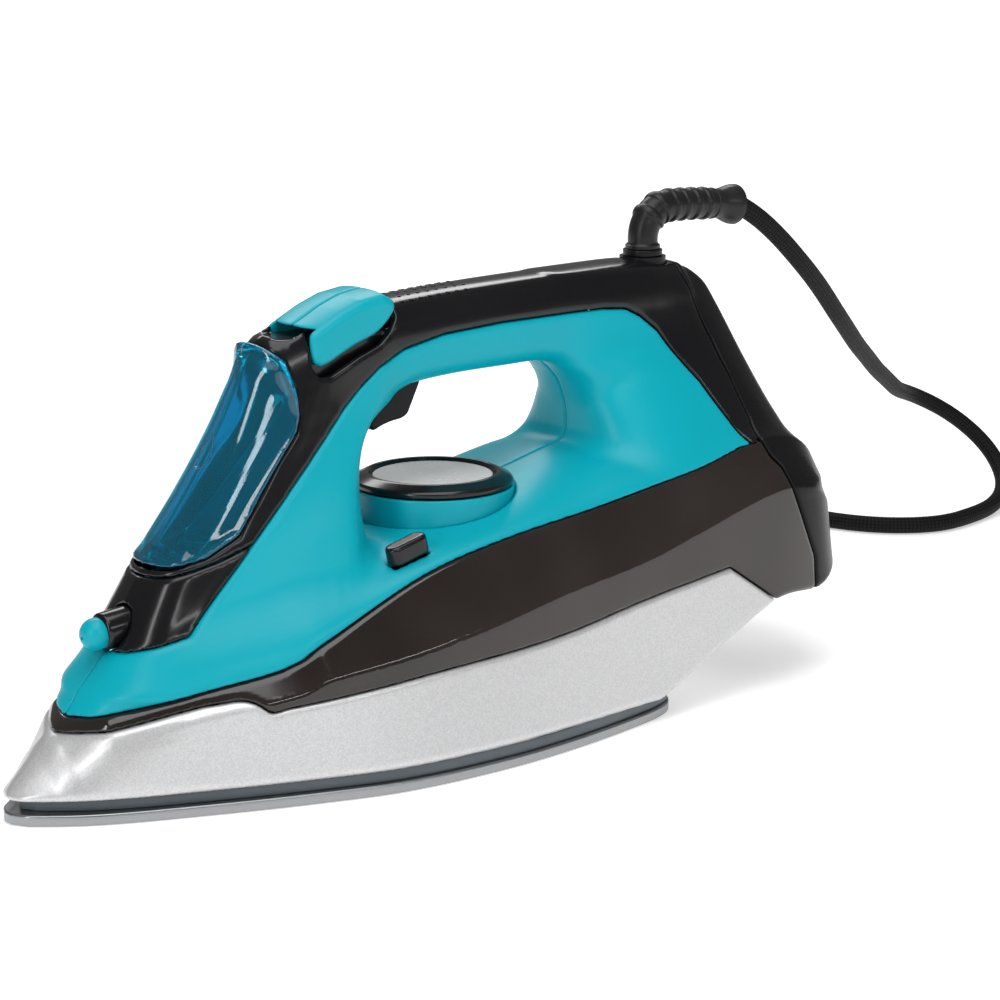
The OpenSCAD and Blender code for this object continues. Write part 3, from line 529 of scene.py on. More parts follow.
def make_materials():
    teal = base_material("teal_satin", (0.0, 0.38, 0.47), 0.36, Specular_IOR_Level=0.25)
    add_grain(teal, 2200, 0.08)
    add_tint(teal, (0.0, 0.37, 0.455), (0.0, 0.40, 0.49), 9)
    black = base_material("black_gloss", (0.006, 0.006, 0.007), 0.2, Coat_Weight=0.12, Coat_Roughness=0.08,
                          Specular_IOR_Level=0.35)
    add_grain(black, 1800, 0.04, vary=0.03)
    add_tint(black, (0.004, 0.004, 0.005), (0.009, 0.009, 0.010), 12)
    satin = base_material("black_satin", (0.008, 0.008, 0.009), 0.28, Specular_IOR_Level=0.14)
    add_grain(satin, 2600, 0.10)
    add_tint(satin, (0.006, 0.006, 0.007), (0.012, 0.012, 0.013), 20)
    smoke = base_material("smoke_clear", (0.022, 0.016, 0.014), 0.10, Coat_Weight=0.3, Coat_Roughness=0.04,
                          Transmission_Weight=0.26, IOR=1.45)
    add_grain(smoke, 900, 0.03, vary=0.03)
    add_tint(smoke, (0.016, 0.012, 0.0105), (0.045, 0.034, 0.029), 14)
    blue = base_material("blue_clear", (0.0, 0.42, 0.64), 0.05, Coat_Weight=0.4, Coat_Roughness=0.03,
                         Transmission_Weight=0.88, IOR=1.45)
    add_grain(blue, 900, 0.02, vary=0.02)
    add_tint(blue, (0.0, 0.38, 0.60), (0.0, 0.46, 0.68), 22)
    slate = add_grain(base_material("slate_satin", (0.085, 0.105, 0.12), 0.40), 2600, 0.2)
    add_tint(slate, (0.075, 0.095, 0.108), (0.10, 0.12, 0.135), 18)
    white = base_material("natural_white", (0.74, 0.73, 0.70), 0.45, Subsurface_Weight=0.05)
    add_grain(white, 1500, 0.15)
    add_tint(white, (0.70, 0.69, 0.65), (0.78, 0.77, 0.74), 24)
    rubber = base_material("soft_black", (0.008, 0.008, 0.009), 0.36, Sheen_Weight=0.02,
                           Specular_IOR_Level=0.3)
    add_grain(rubber, 3200, 0.2)
    add_tint(rubber, (0.006, 0.006, 0.007), (0.013, 0.013, 0.014), 30)
    disc = add_grain(base_material("mirror_disc", (0.80, 0.785, 0.775), 0.28, Metallic=0.35), 700, 0.02)
    add_tint(disc, (0.77, 0.755, 0.745), (0.83, 0.815, 0.805), 60)
    return {
        "teal_plastic": teal, "black_gloss": black, "black_satin": satin, "smoke_clear": smoke,
        "blue_clear": blue, "ledge_grey": slate, "white_plastic": white, "rubber_black": rubber,
        "braid": braid_material(), "silver_plastic": sparkle_material(),
        "sole_metal": brushed_material("sole_metal", (0.33, 0.34, 0.35), 0.3, (1, 12, 12)),
        "cast_metal": brushed_material("cast_metal", (0.55, 0.56, 0.57), 0.5, (1, 1, 1)),
        "bright_metal": brushed_material("bright_metal", (0.72, 0.73, 0.75), 0.25, (1, 1, 14)),
        "mirror_disc": disc,
        "brass_pins": brushed_material("brass_pins", (0.80, 0.68, 0.44), 0.24, (12, 12, 1)),
    }


LOOKS = make_materials()
for part in frame["record"]["subparts"]:
    shown = frame["nodes"][part["node"]]
    shown.data.materials.clear()
    shown.data.materials.append(LOOKS[part["material_slot"]])


def finish_piece(obj, slot, body, *nodes):
    """Gives a piece its look, its body and the CAD nodes that it stands for."""
    obj.data.materials.clear()
    obj.data.materials.append(LOOKS[slot])
    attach(obj, body)
    if nodes:
        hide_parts(*nodes)
    return obj


# ---------- camera ----------


def make_camera():
    azimuth, elevation = -40.5, 13
    data = bpy.data.cameras.new("camera")
    data.lens = 108
    data.sensor_width = 36
    obj = bpy.data.objects.new("camera", data)
    bpy.context.scene.collection.objects.link(obj)
    obj.location = (-0.563, -0.746, 0.297)
    obj.rotation_euler = (math.radians(90 - elevation), 0, math.radians(azimuth))
    bpy.context.scene.camera = obj


make_camera()

# ---------- the lead ----------

TABLE_Z = LEAD / 2
GUARD_ELBOW = 10.5
GUARD_TOP = 163.4
GUARD_REACH = 33
GUARD_DROOP = 2.3
GUARD_BASE = 149.5
TURN_RADIUS = (COIL_OUTSIDE - LEAD) / 2
COIL_AT = (298, 135)
COIL_TURNS = 3
CORD_START = (SWIVEL_X + GUARD_ELBOW + GUARD_REACH + 1.8, 0, GUARD_TOP - GUARD_DROOP)
CORD_ROUTE = [CORD_START, (188, 0, 159), (200, 1, 152), (220, 5, 138), (240, 13, 125), (260, 23, 112),
              (280, 35, 101), (300, 48, 91), (320, 61, 82), (340, 74, 73), (360, 87, 65), (380, 100, 57),
              (398, 112, 51),
              (417, 120, 45), (434, 116, 36), (443, 101, 22), (436, 85, 10), (416, 74, 4), (396, 69, TABLE_Z),
              (376, 68, TABLE_Z), (359, 77, TABLE_Z), (348, 93, TABLE_Z), (343, 113, TABLE_Z)]
PLUG_TAIL = (342, 166, 1.5 * LEAD)
PLUG_TURN = 89
PLUG_TILT = 12
PIN_SPREAD = 19
COIL_INSIDE = 52
TAIL_ROUTE = [(COIL_AT[0] + TURN_RADIUS, COIL_AT[1] + 6, 1.5 * LEAD), (341, 154, 1.5 * LEAD), PLUG_TAIL]


def coil_route():
    """Turns inward on the table, then outward on top of them; each layer drifts one diameter a turn."""
    steps = 40
    route = []
    for layer in (0, 1):
        for k in range(COIL_TURNS * steps + 1):
            turned = k / steps
            inward = turned if layer == 0 else COIL_TURNS - turned
            radius = TURN_RADIUS - LEAD * inward * (COIL_TURNS - 1) / COIL_TURNS
            angle = 2 * math.pi * turned
            climb = min(max((turned - COIL_TURNS + 0.35) / 0.35, 0), 1) if layer == 0 else 1
            z = TABLE_Z + LEAD * climb * climb * (3 - 2 * climb)
            route.append((COIL_AT[0] + radius * math.cos(angle), COIL_AT[1] + radius * math.sin(angle), z))
    return route[:COIL_TURNS * steps] + route[COIL_TURNS * steps + 1:]


def natural_curve(points, step):
    """A smooth curve through points, at even steps along it."""
    p = np.array(points, float)
    s = np.concatenate([[0], np.cumsum(np.linalg.norm(np.diff(p, axis=0), axis=1))])
    n = len(p)
    h = np.diff(s)
    matrix = np.eye(n)
    right = np.zeros((n, 3))
    for i in range(1, n - 1):
        matrix[i, i - 1:i + 2] = h[i - 1], 2 * (h[i - 1] + h[i]), h[i]
        right[i] = 6 * ((p[i + 1] - p[i]) / h[i] - (p[i] - p[i - 1]) / h[i - 1])
    m = np.linalg.solve(matrix, right)
    t = np.linspace(0, s[-1], max(int(s[-1] / step), 2) + 1)
    i = np.clip(np.searchsorted(s, t, side="right") - 1, 0, n - 2)
    a, b, w = (s[i + 1] - t)[:, None], (t - s[i])[:, None], h[i][:, None]
    return ((m[i] * a**3 + m[i + 1] * b**3) / (6 * w) + (p[i] / w - m[i] * w / 6) * a
            + (p[i + 1] / w - m[i + 1] * w / 6) * b)


def tube(name, centre, radius, sides, yarn=None):
    """A closed tube along a centreline; yarn, the length of a yarn's turn, asks for a UV map."""
    centre = np.asarray(centre, float)
    ahead = np.gradient(centre, axis=0)
    ahead /= np.linalg.norm(ahead, axis=1)[:, None]
    aside = np.cross(ahead[0], (0, 0, 1) if abs(ahead[0][2]) < 0.9 else (0, 1, 0))
    rings = []
    for c, d in zip(centre, ahead):
        aside = aside - d * (aside @ d)
        aside /= np.linalg.norm(aside)
        over = np.cross(d, aside)
        a = 2 * np.pi * np.arange(sides) / sides
        rings.append(c + radius * (np.cos(a)[:, None] * aside + np.sin(a)[:, None] * over))
    points = np.concatenate(rings + [centre[:1], centre[-1:]])
    count = len(centre)
    i, k = np.meshgrid(np.arange(count - 1), np.arange(sides), indexing="ij")
    here, beside = i * sides + k, i * sides + (k + 1) % sides
    quads = np.stack([here, beside, beside + sides, here + sides], -1).reshape(-1, 4)
    obj = add_mesh(name, points, quads)
    mesh = obj.data
    first, last = count * sides, count * sides + 1
    bm = bmesh.new()
    bm.from_mesh(mesh)
    bm.verts.ensure_lookup_table()
    for k in range(sides):
        after = (k + 1) % sides
        bm.faces.new([bm.verts[after], bm.verts[k], bm.verts[first]]).smooth = True
        bm.faces.new([bm.verts[(count - 1) * sides + k], bm.verts[(count - 1) * sides + after],
                      bm.verts[last]]).smooth = True
    bmesh.ops.recalc_face_normals(bm, faces=bm.faces)
    if yarn:
        uv = bm.loops.layers.uv.new("UVMap")
        length = np.concatenate([[0], np.cumsum(np.linalg.norm(np.diff(centre, axis=0), axis=1))])
        for face in bm.faces:
            ks = [v.index % sides for v in face.verts if v.index < first]
            wraps = max(ks) - min(ks) > sides / 2
            for loop in face.loops:
                v = loop.vert.index
                ring = min(v // sides, count - 1)
                k = v % sides if v < first else 0
                k = k + sides if wraps and k < sides / 2 else k
                loop[uv].uv = (8 * 2 * math.pi * k / sides, 2 * math.pi * length[ring] / yarn)
    bm.to_mesh(mesh)
    bm.free()
    return obj


def make_cord():
    whole = CORD_ROUTE + coil_route() + TAIL_ROUTE[1:]
    centre = natural_curve(whole, 1.7)
    obj = tube("cord_lead", centre, LEAD / 2, 20, yarn=3.0)
    obj.data.materials.append(LOOKS["braid"])
    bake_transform(obj)
    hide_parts("cord", "cord_coil")
    length = float(np.linalg.norm(np.diff(centre, axis=0), axis=1).sum()) * MM
    return obj, centre * MM, length


# ---------- turned, swept and cut pieces ----------


def soften(points, radius, steps=4):
    """A profile with its inner corners rounded."""
    p = np.array(points, float)
    out = [p[0]]
    for a, b, c in zip(p[:-2], p[1:-1], p[2:]):
        u, v = a - b, c - b
        lu, lv = np.linalg.norm(u), np.linalg.norm(v)
        r = min(radius, 0.45 * lu, 0.45 * lv)
        start, end = b + u / lu * r, b + v / lv * r
        for t in np.linspace(0, 1, steps + 1):
            out.append((1 - t) ** 2 * start + 2 * t * (1 - t) * b + t * t * end)
    out.append(p[-1])
    return out


def straight(origin, axis):
    """A place function for turned pieces: a straight axis."""
    origin, axis = np.array(origin, float), np.array(axis, float) / np.linalg.norm(axis)
    side = np.cross(axis, (0, 1, 0) if abs(axis[1]) < 0.9 else (1, 0, 0))
    side /= np.linalg.norm(side)
    over = np.cross(axis, side)
    return lambda s: (origin + s * axis, side, over)


def turned(name, profile, place, sides=72, loop=False):
    """A surface of rings: profile is (distance along the axis, radius); loop closes it on itself."""
    profile = np.array(profile, float)
    angle = 2 * np.pi * np.arange(sides) / sides
    points = []
    for s, r in profile:
        centre, side, over = place(s)
        points.append(centre + r * (np.cos(angle)[:, None] * side + np.sin(angle)[:, None] * over))
    rings = len(profile)
    last = rings if loop else rings - 1
    i, k = np.meshgrid(np.arange(last), np.arange(sides), indexing="ij")
    j = (i + 1) % rings
    n = (k + 1) % sides
    quads = np.stack([i * sides + k, i * sides + n, j * sides + n, j * sides + k], -1).reshape(-1, 4)
    obj = add_mesh(name, np.concatenate(points), quads)
    bm = bmesh.new()
    bm.from_mesh(obj.data)
    bmesh.ops.remove_doubles(bm, verts=bm.verts, dist=0.002 * MM)
    bmesh.ops.recalc_face_normals(bm, faces=bm.faces)
    bm.to_mesh(obj.data)
    bm.free()
    obj.data.set_sharp_from_angle(angle=math.radians(40))
    return obj


def plate(name, outlines, low, high, bevel, place=None):
    """A flat plate from closed outlines, the later ones holes, with bevelled edges."""
    data = bpy.data.curves.new(name, "CURVE")
    data.dimensions = "2D"
    data.fill_mode = "BOTH"
    for outline in outlines:
        spline = data.splines.new("POLY")
        spline.points.add(len(outline) - 1)
        for point, (x, y) in zip(spline.points, outline):
            point.co = (x * MM, y * MM, 0, 1)
        spline.use_cyclic_u = True
    data.bevel_depth = bevel * MM
    data.bevel_resolution = 3
    data.offset = -bevel * MM
    data.extrude = ((high - low) / 2 - bevel) * MM
    shape = bpy.data.objects.new(name + "_shape", data)
    bpy.context.scene.collection.objects.link(shape)
    bpy.context.view_layer.update()
    mesh = bpy.data.meshes.new_from_object(shape.evaluated_get(bpy.context.evaluated_depsgraph_get()))
    mesh.name = name
    bpy.data.objects.remove(shape)
    obj = bpy.data.objects.new(name, mesh)
    bpy.context.scene.collection.objects.link(obj)
    for vertex in mesh.vertices:
        vertex.co.z += (low + high) / 2 * MM
    if place is not None:
        mesh.transform(place)
    bm = bmesh.new()
    bm.from_mesh(mesh)
    bmesh.ops.remove_doubles(bm, verts=bm.verts, dist=0.001 * MM)
    bmesh.ops.recalc_face_normals(bm, faces=bm.faces)
    bm.to_mesh(mesh)
    bm.free()
    mesh.polygons.foreach_set("use_smooth", np.ones(len(mesh.polygons), bool))
    mesh.set_sharp_from_angle(angle=math.radians(30))
    return obj


def box_grid(low, high, step):
    """Coordinates of a fresh grid between two corners, and its origin."""
    axes = [np.arange(a, b + step, step) for a, b in zip(low, high)]
    x, y, z = np.meshgrid(*axes, indexing="ij")
    return x, y, z, low


# ---------- covers cut from the envelope ----------

BODY, ARM, WHOLE = build_envelope()


def window(low, high):
    """The part of the envelope's grid between two corners."""
    slices, axes = [], []
    for grid, a, b in zip((GRID_X, GRID_Y, GRID_Z), low, high):
        i, j = np.searchsorted(grid, (a, b))
        i, j = max(i - 2, 0), min(j + 3, len(grid))
        slices.append(slice(i, j))
        axes.append(grid[i:j])
    x, y, z = axes[0][:, None, None], axes[1][None, :, None], axes[2][None, None, :]
    return tuple(slices), x, y, z, (axes[0][0], axes[1][0], axes[2][0])


def side_view(points, x, z, gap=SEAM / 2):
    """Field of a block across the iron with a given side view, held off by the seam."""
    xx, zz = np.broadcast_arrays(x[:, 0, :], z[0])
    return (outline_distance(points, xx, zz) + gap)[:, None, :].astype(np.float32)


def rod(x, y, z, start, along, radius):
    """Field of an endless round rod."""
    along = np.array(along, float) / np.linalg.norm(along)
    dx, dy, dz = x - start[0], y - start[1], z - start[2]
    run = dx * along[0] + dy * along[1] + dz * along[2]
    return np.sqrt(np.maximum(dx * dx + dy * dy + dz * dz - run * run, 1e-6)) - radius


def block(x, y, z, low, high):
    """Field of a box."""
    fx = np.maximum(low[0] - x, x - high[0])
    fy = np.maximum(low[1] - y, y - high[1])
    fz = np.maximum(low[2] - z, z - high[2])
    return np.maximum(np.maximum(fx, fy), fz)


def edge_line():
    return [(NOSE - 5, 25), (NOSE + 8, 25)] + [(x, float(curve(EDGE_Z, x))) for x in range(-104, 153, 6)]


def skirt_line():
    xs = list(range(135, -41, -5)) + [-45 - 1.5 * k for k in range(11)] + list(range(-68, -125, -8))
    return [(x, float(curve(SKIRT_TOP, x))) for x in xs] + [(NOSE - 5, 12)]


def lower_plan(inset):
    """The lower body's plan behind the nose, drawn in."""
    side = [(x, max(float(curve(SIDE_LOW, x)) - inset, 0.3)) for x in range(-106, 151, 3)]
    return side + [(x, -y) for x, y in reversed(side)]


def lever_slot(x, y, z):
    slope = math.radians(LEVER_SLOPE)
    dx, dy, dz = x - LEVER_AT[0], y - LEVER_AT[1], z - LEVER_AT[2]
    along = dx * math.cos(slope) + dz * math.sin(slope)
    up = -dx * math.sin(slope) + dz * math.cos(slope)
    return block(along, dy, up, (-7.5, -1.8, -15), (7.5, 1.8, 5))


def make_skirt():
    cut, x, y, z, origin = window((-122, -61, 5), (160, 61, 50))
    under = [(NOSE - 5, SKIRT_BASE - 2), (98, SKIRT_BASE - 2), (106, 9), (158, 31.2)]
    region = side_view(under + skirt_line(), x, z)
    f = meet(BODY[cut], region, 1.3)
    xx, yy = np.broadcast_arrays(x[:, :, 0], y[:, :, 0])
    opening = np.maximum(outline_distance(lower_plan(WALL + 1.2), xx, yy)[:, :, None], z - 11)
    f = meet(meet(f, -(BODY[cut] + WALL), 0.5), -opening, 0.5)
    finish_piece(solid("skirt_cover", f, origin, STEP), "silver_plastic", "root", "skirt")


def make_tank():
    cut, x, y, z, origin = window((-122, -61, 20), (182, 61, 90))
    band = side_view([(158.3, 31), (172, 28), (179, 28), (179, 43), (164.5, 76), (160, 80.5), (157.5, 86)]
                     + edge_line()[::-1] + skirt_line()[::-1], x, z)
    tub = side_view([(-44, 31), (158, 31)] + [(a, b + 1) for a, b in skirt_line() if a > -44], x, z)
    deep = WALL + 1
    f = np.minimum(meet(BODY[cut], band, 1.2), meet(BODY[cut] + deep, tub, 0.8))
    hollow = np.maximum(BODY[cut] + deep + WALL, 33 - z)
    f = meet(f, -hollow, 0.6)
    f = meet(f, -np.maximum(rod(x, y, z, (DIAL_X, 0, 0), (0, 0, 1), 4.6), z - 60), 0.5)
    f = meet(f, -np.maximum(rod(x, y, z, (DIAL_X, 0, 0), (0, 0, 1), COLLAR_RADIUS + 0.5), 65.6 - z), 0.5)
    finish_piece(solid("water_tank_clear", f, origin, STEP), "smoke_clear", "root", "water_tank")


def make_housing():
    cut, x, y, z, origin = window((-110, -46, 24), (160, 46, 136))
    region = side_view(edge_line() + [(153, 85)] + BAND_LINE[-2::-1] + [(-96, 44), (NOSE - 5, 40)], x, z)
    f = meet(meet(WHOLE[cut], region, 1.4), -(WHOLE[cut] + WALL), 0.6)
    f = meet(f, -np.maximum(rod(x, y, z, (DIAL_X, 0, 0), (0, 0, 1), COLLAR_RADIUS + 0.15), z - 92), 0.9)
    f = meet(f, -block(x, y, z, (14, -6.8, 100), (39, 6.8, 124)), 0.8)
    f = meet(f, -lever_slot(x, y, z), 0.5)
    for side, name in ((-1, "left"), (1, "right")):
        half = meet(f, -side * y + 0.03, 0.15)
        finish_piece(solid("housing_" + name + "_cover", half, origin, STEP), "teal_plastic", "root",
                     "housing_" + name)


def lid_region(x, z, gap):
    return side_view(LID_LINE + [(-60, 140), (-110, 72)], x, z, gap)


def lid_relief(x, y, z):
    """Field of the room in which the lid's foot swings, wider along its hinge than across it."""
    dx, dy, dz = x - HINGE[0], y - HINGE[1], z - HINGE[2]
    return np.sqrt(dx * dx + (dy / LID_ROOM_STRETCH) ** 2 + dz * dz) - LID_ROOM


def make_handle_cover():
    cut, x, y, z, origin = window((-85, -44, 66), (164, 44, 150))
    outline = (FRONT_SEAM[::-1] + [(-90, 150), (146.5, 160)] + REAR_SEAM[1:7] + [(157.5, 86), (153, 85)]
               + BAND_LINE[-2:4:-1])
    f = meet(WHOLE[cut], -(WHOLE[cut] + WALL), 0.6)
    inner = block(x, y, z, (-24, -12, SEAT_Z - WALL), (26, 12, SEAT_Z))
    for s in (-1, 1):
        inner = np.minimum(inner, block(x, s * y, z, (-12, LOBE_WALL - 1.8, 118), (26, LOBE_WALL, SEAT_Z)))
    f = np.minimum(f, np.maximum(inner, WHOLE[cut] + 0.4))
    f = meet(f, side_view(outline, x, z), 1.0)
    f = meet(f, -block(x, y, z, (-22, -8, SEAT_Z), (18, 8, 160)), 0.5)
    rises = (-3, -1.5, 0, 1.5, 3)
    moving = [side_view([(a, b + rise) for a, b in BUTTON_SIDE], x, z, -BUTTON_GAP) for rise in rises]
    room = np.minimum.reduce(moving)
    lobes = np.maximum(room, np.minimum(BUTTON_HALF - BUTTON_LOBE - 0.5 - np.abs(y), SEAT_Z - 0.5 - z))
    f = meet(f, -lobes, 0.6)
    for s in (-1, 1):
        f = meet(f, -np.maximum(rod(x, y, z, (PUMP_X, s * PUMP_Y, 0), (0, 0, 1), 2.8), 130 - z), 0.4)
    f = meet(f, -np.maximum(rod(x, y, z, (SWIVEL_X, 0, 0), (0, 0, 1), SWIVEL_SOCKET), 130 - z), 0.8)
    f = meet(f, -lid_region(x, z, -0.3), 1.0)
    f = meet(f, -lid_relief(x, y, z), 0.4)
    finish_piece(solid("handle_cover_skin", f, origin, STEP), "black_gloss", "root", "handle_cover")


def make_front_cover():
    cut, x, y, z, origin = window((-100, -34, 40), (-34, 34, 82))
    region = side_view([(-96, 43.5)] + BAND_LINE[:5] + FRONT_SEAM[::-1] + [(-100, 67)], x, z)
    f = meet(meet(WHOLE[cut], region, 1.0), -(WHOLE[cut] + WALL), 0.6)
    f = meet(f, -np.maximum(rod(x, y, z, NOZZLE_AT, NOZZLE_AXIS, 6.3), x + 60), 0.6)
    f = meet(f, -lid_relief(x, y, z), 0.4)
    finish_piece(solid("front_cover_skin", f, origin, STEP), "black_gloss", "root", "front_cover")


def make_rear_cover():
    cut, x, y, z, origin = window((144, -56, 26), (209, 56, 149))
    region = side_view(REAR_SEAM + [(230, 20), (230, 160)], x, z)
    f = meet(meet(WHOLE[cut], region, 1.0), -(WHOLE[cut] + WALL), 0.6)
    for s in (-1, 1):
        f = meet(f, -np.maximum(rod(x, y, z, (188, s * 15, 58), (1, 0, 0), 3.9), 188 - x), 0.5)
        f = meet(f, -np.maximum(rod(x, y, z, (203, s * 13, 50), (1, 0, 0), 3.1), 203.15 - x), 0.4)
    finish_piece(solid("rear_cover_skin", f, origin, STEP), "black_satin", "root", "rear_cover")


def make_lid():
    cut, x, y, z, origin = window((-80, -22, 69), (-14, 22, 142))
    edge = lid_region(x, z, 0.1)
    flare = np.clip((z - 108) / 24, 0, 1)
    flare = flare * flare * (3 - 2 * flare)
    proud = (0.9 + 1.7 * flare) * np.exp(-(edge / (1.6 + 3.2 * flare)) ** 2)
    f = meet(meet(ARM[cut] - proud, edge, 1.2), -(ARM[cut] + 2), 0.5)
    f = meet(f, 72 - z, 0.8)
    finish_piece(solid("filler_lid_clear", f, origin, STEP), "blue_clear", "lid", "filler_lid")


def surface_points(field, starts, ways, reach):
    """Where lines from starts along ways first go into the envelope, found on its grid."""
    found = []
    steps = np.arange(0, reach, 0.2)
    for start, way in zip(np.array(starts, float), np.array(ways, float)):
        line = start + steps[:, None] * way
        depth = sample(field, (GRID_X[0], GRID_Y[0], GRID_Z[0]), STEP, line)
        first = int(np.argmax(depth < 0))
        part = depth[first - 1] / (depth[first - 1] - depth[first])
        found.append(line[first - 1] + part * (line[first] - line[first - 1]))
    return np.array(found)


def make_grip_studs():
    """Five staggered rows of low round studs behind the buttons."""
    spots = [(26.5 + 3.8 * k + 1.9 * (row % 2), -7.6 + 3.8 * row, 158) for row in range(5) for k in range(8)]
    tops = surface_points(WHOLE, spots, [(0, 0, -1)] * len(spots), 30)
    points, faces = [], []
    sides, radius, height, sunk = 12, 0.8, 0.42, 0.15
    for top in tops:
        first = len(points)
        for ring in range(4):
            lean = math.pi / 2 * ring / 4
            for k in range(sides):
                turn = 2 * math.pi * k / sides
                reach = radius * math.cos(lean)
                up = height * math.sin(lean) - sunk
                points.append(top + (reach * math.cos(turn), reach * math.sin(turn), up))
        for ring in range(3):
            for k in range(sides):
                a, b = first + ring * sides + k, first + ring * sides + (k + 1) % sides
                faces.append((a, b, b + sides, a + sides))
        points.append(top + (0, 0, height - sunk))
        peak, last = len(points) - 1, first + 3 * sides
        for k in range(0, sides, 2):
            faces.append((last + k, last + k + 1, last + (k + 2) % sides, peak))
    finish_piece(add_mesh("grip_studs", points, faces), "black_satin", "root")


def make_lid_mark():
    """A plain raised drop on the lid, where water goes in."""
    turns = np.linspace(0, 2 * math.pi, 41)[:-1]
    drop = [(4.2 * math.sin(t) * abs(math.cos(t / 2)) ** 1.5, 104 - 5 * math.cos(t)) for t in turns + math.pi]
    front = surface_points(ARM, [(-95, y, z) for y, z in drop], [(1, 0, 0)] * len(drop), 70)
    closed = np.concatenate([front, front[:2]])
    finish_piece(tube("lid_water_mark", closed, 0.45, 8), "blue_clear", "lid")


make_skirt()
make_tank()
make_housing()
make_handle_cover()
make_front_cover()
make_rear_cover()
make_lid()
make_grip_studs()
make_lid_mark()

# ---------- base ----------


def sole_half(x):
    return float(curve(SOLE_SHAPE, x)) * SOLE_WIDTH / 2


def sole_outline(inset=0, stretch=0):
    """The sole's plan as a smooth outline, drawn in all round."""
    xs = np.concatenate([NOSE + 12 * np.linspace(0, 1, 18) ** 2, np.arange(NOSE + 14, 100, 2.5),
                         HEEL - 20 * np.linspace(1, 0, 24) ** 2])
    side = [(x, max(sole_half(x) - inset, 0.4)) for x in xs]
    whole = np.array(side + [(x, -y) for x, y in side[::-1]])
    whole[:, 0] = whole[:, 0] * (SOLE_LENGTH - stretch * 2.6) / SOLE_LENGTH + stretch * 1.6
    return whole


def steam_holes():
    holes = [(x, s * (sole_half(x) - 9)) for x in range(-84, 71, 14) for s in (-1, 1)]
    holes += [(x, s * (sole_half(x) - 19)) for x in range(-62, 65, 14) for s in (-1, 1) if sole_half(x) > 34]
    return holes + [(-96, 0), (-84, 0), (-72, 0)]


def ring_of(x, y, r, count=28):
    return [(x + r * math.cos(2 * math.pi * k / count), y + r * math.sin(2 * math.pi * k / count))
            for k in range(count)]


holes = [ring_of(x, y, STEAM_HOLE / 2) for x, y in steam_holes()]
sole = plate("soleplate_smooth", [sole_outline()] + holes, 0, SOLE_LIP, 0.7)
finish_piece(sole, "sole_metal", "root", "soleplate")
ledge = plate("sole_ledge_smooth", [sole_outline(1.6, 1.6), sole_outline(5, 5)], SOLE_LIP, SKIRT_BASE - 0.1,
              0.5)
finish_piece(ledge, "ledge_grey", "root", "sole_ledge")

# ---------- dial ----------

collar_top = DIAL_PLANE - DIAL_RIM - 0.4
drum = [(66, 3.05), (66, COLLAR_RADIUS), (collar_top, COLLAR_RADIUS), (collar_top, COLLAR_RADIUS - 2),
        (70, COLLAR_RADIUS - 2), (70, 3.05), (66, 3.05)]
drum_place = straight((DIAL_X, 0, 0), (0, 0, 1))
finish_piece(turned("dial_drum", soften(drum, 0.7)[:-1], drum_place, 144, loop=True), "teal_plastic", "root",
             "dial_collar")
rim = [(-8, 0), (-8, 6), (0, 6), (0, 25.6), (0.3, DIAL_RADIUS), (1.6, DIAL_RADIUS), (2.3, DIAL_RADIUS - 0.6),
       (3.9, 22.6), (4.1, 21.9), (4.1, 21.2), (2.4, 20.2), (2.4, 0)]
rim_place = straight((DIAL_X, 0, DIAL_PLANE - DIAL_RIM), (0, 0, 1))
finish_piece(turned("dial_rim_gloss", [rim[0]] + soften(rim, 0.35)[1:], rim_place, 144),
             "black_gloss", "dial", "dial_knob")
disc = [(-1.0, 0), (-1.0, 19.8), (-0.55, 19.8), (-0.4, 19.5), (-0.4, 0)]
disc_place = straight((DIAL_X, 0, DIAL_PLANE), (0, 0, 1))
finish_piece(turned("dial_face", [disc[0]] + soften(disc, 0.2)[1:], disc_place, 144), "mirror_disc", "dial",
             "dial_disc")

# ---------- lever, buttons, trigger ----------


def make_lever():
    slope = math.radians(LEVER_SLOPE)
    step = 0.35
    x, y, z, origin = box_grid((-9, -5, -13), (9, 5, 8), step)
    plan = np.hypot(np.maximum(np.abs(x) - 4.4, 0), y) - 3.2
    knob = meet(meet(plan, z - 2.9, 1.5), -3.2 - z, 0.8)
    stem = block(x, y, z, (-1.5, -1.2, -6), (1.5, 1.2, -2))
    obj = solid("steam_lever_knob", np.minimum(knob, stem), origin, step)
    turn = Matrix.Translation(Vector(LEVER_AT) * MM) @ Matrix.Rotation(-slope, 4, "Y")
    obj.data.transform(turn)
    finish_piece(obj, "black_gloss", "lever", "steam_lever")


def make_buttons():
    step = 0.45
    x, y, z, origin = box_grid((-14, -15, 118), (28, 15, 154), step)
    xx, zz = x[:, 0, :], z[:, 0, :]
    outline = smooth_ring(BUTTON_SIDE, 4)
    side = outline_distance(outline, xx, zz)[:, None, :]
    crown = np.interp(x[:, 0, 0], *zip(*sorted((a, b) for a, b in BUTTON_SIDE[7:] + BUTTON_SIDE[:1])))
    crown = z - crown[:, None, None] + BUTTON_CROWN * y * y
    for s, body, node_name in ((-1, "spray_key", "spray_button"), (1, "steam_key", "steam_button")):
        f = meet(meet(meet(side, crown, 1.5), s * y - BUTTON_HALF, 2.6), 0.15 - s * y, 1.0)
        f = meet(f, -np.maximum(np.abs(y) - (BUTTON_HALF - BUTTON_LOBE), z - SEAT_Z - 2.6), 0.8)
        stem = np.hypot(x - PUMP_X, y - s * PUMP_Y) - 2.4
        stem = np.maximum(stem, np.maximum(SEAT_Z - 7 - z, z - SEAT_Z - 5))
        obj = solid(node_name + "_cap", np.minimum(f, stem), origin, step)
        finish_piece(obj, "teal_plastic", body, node_name)


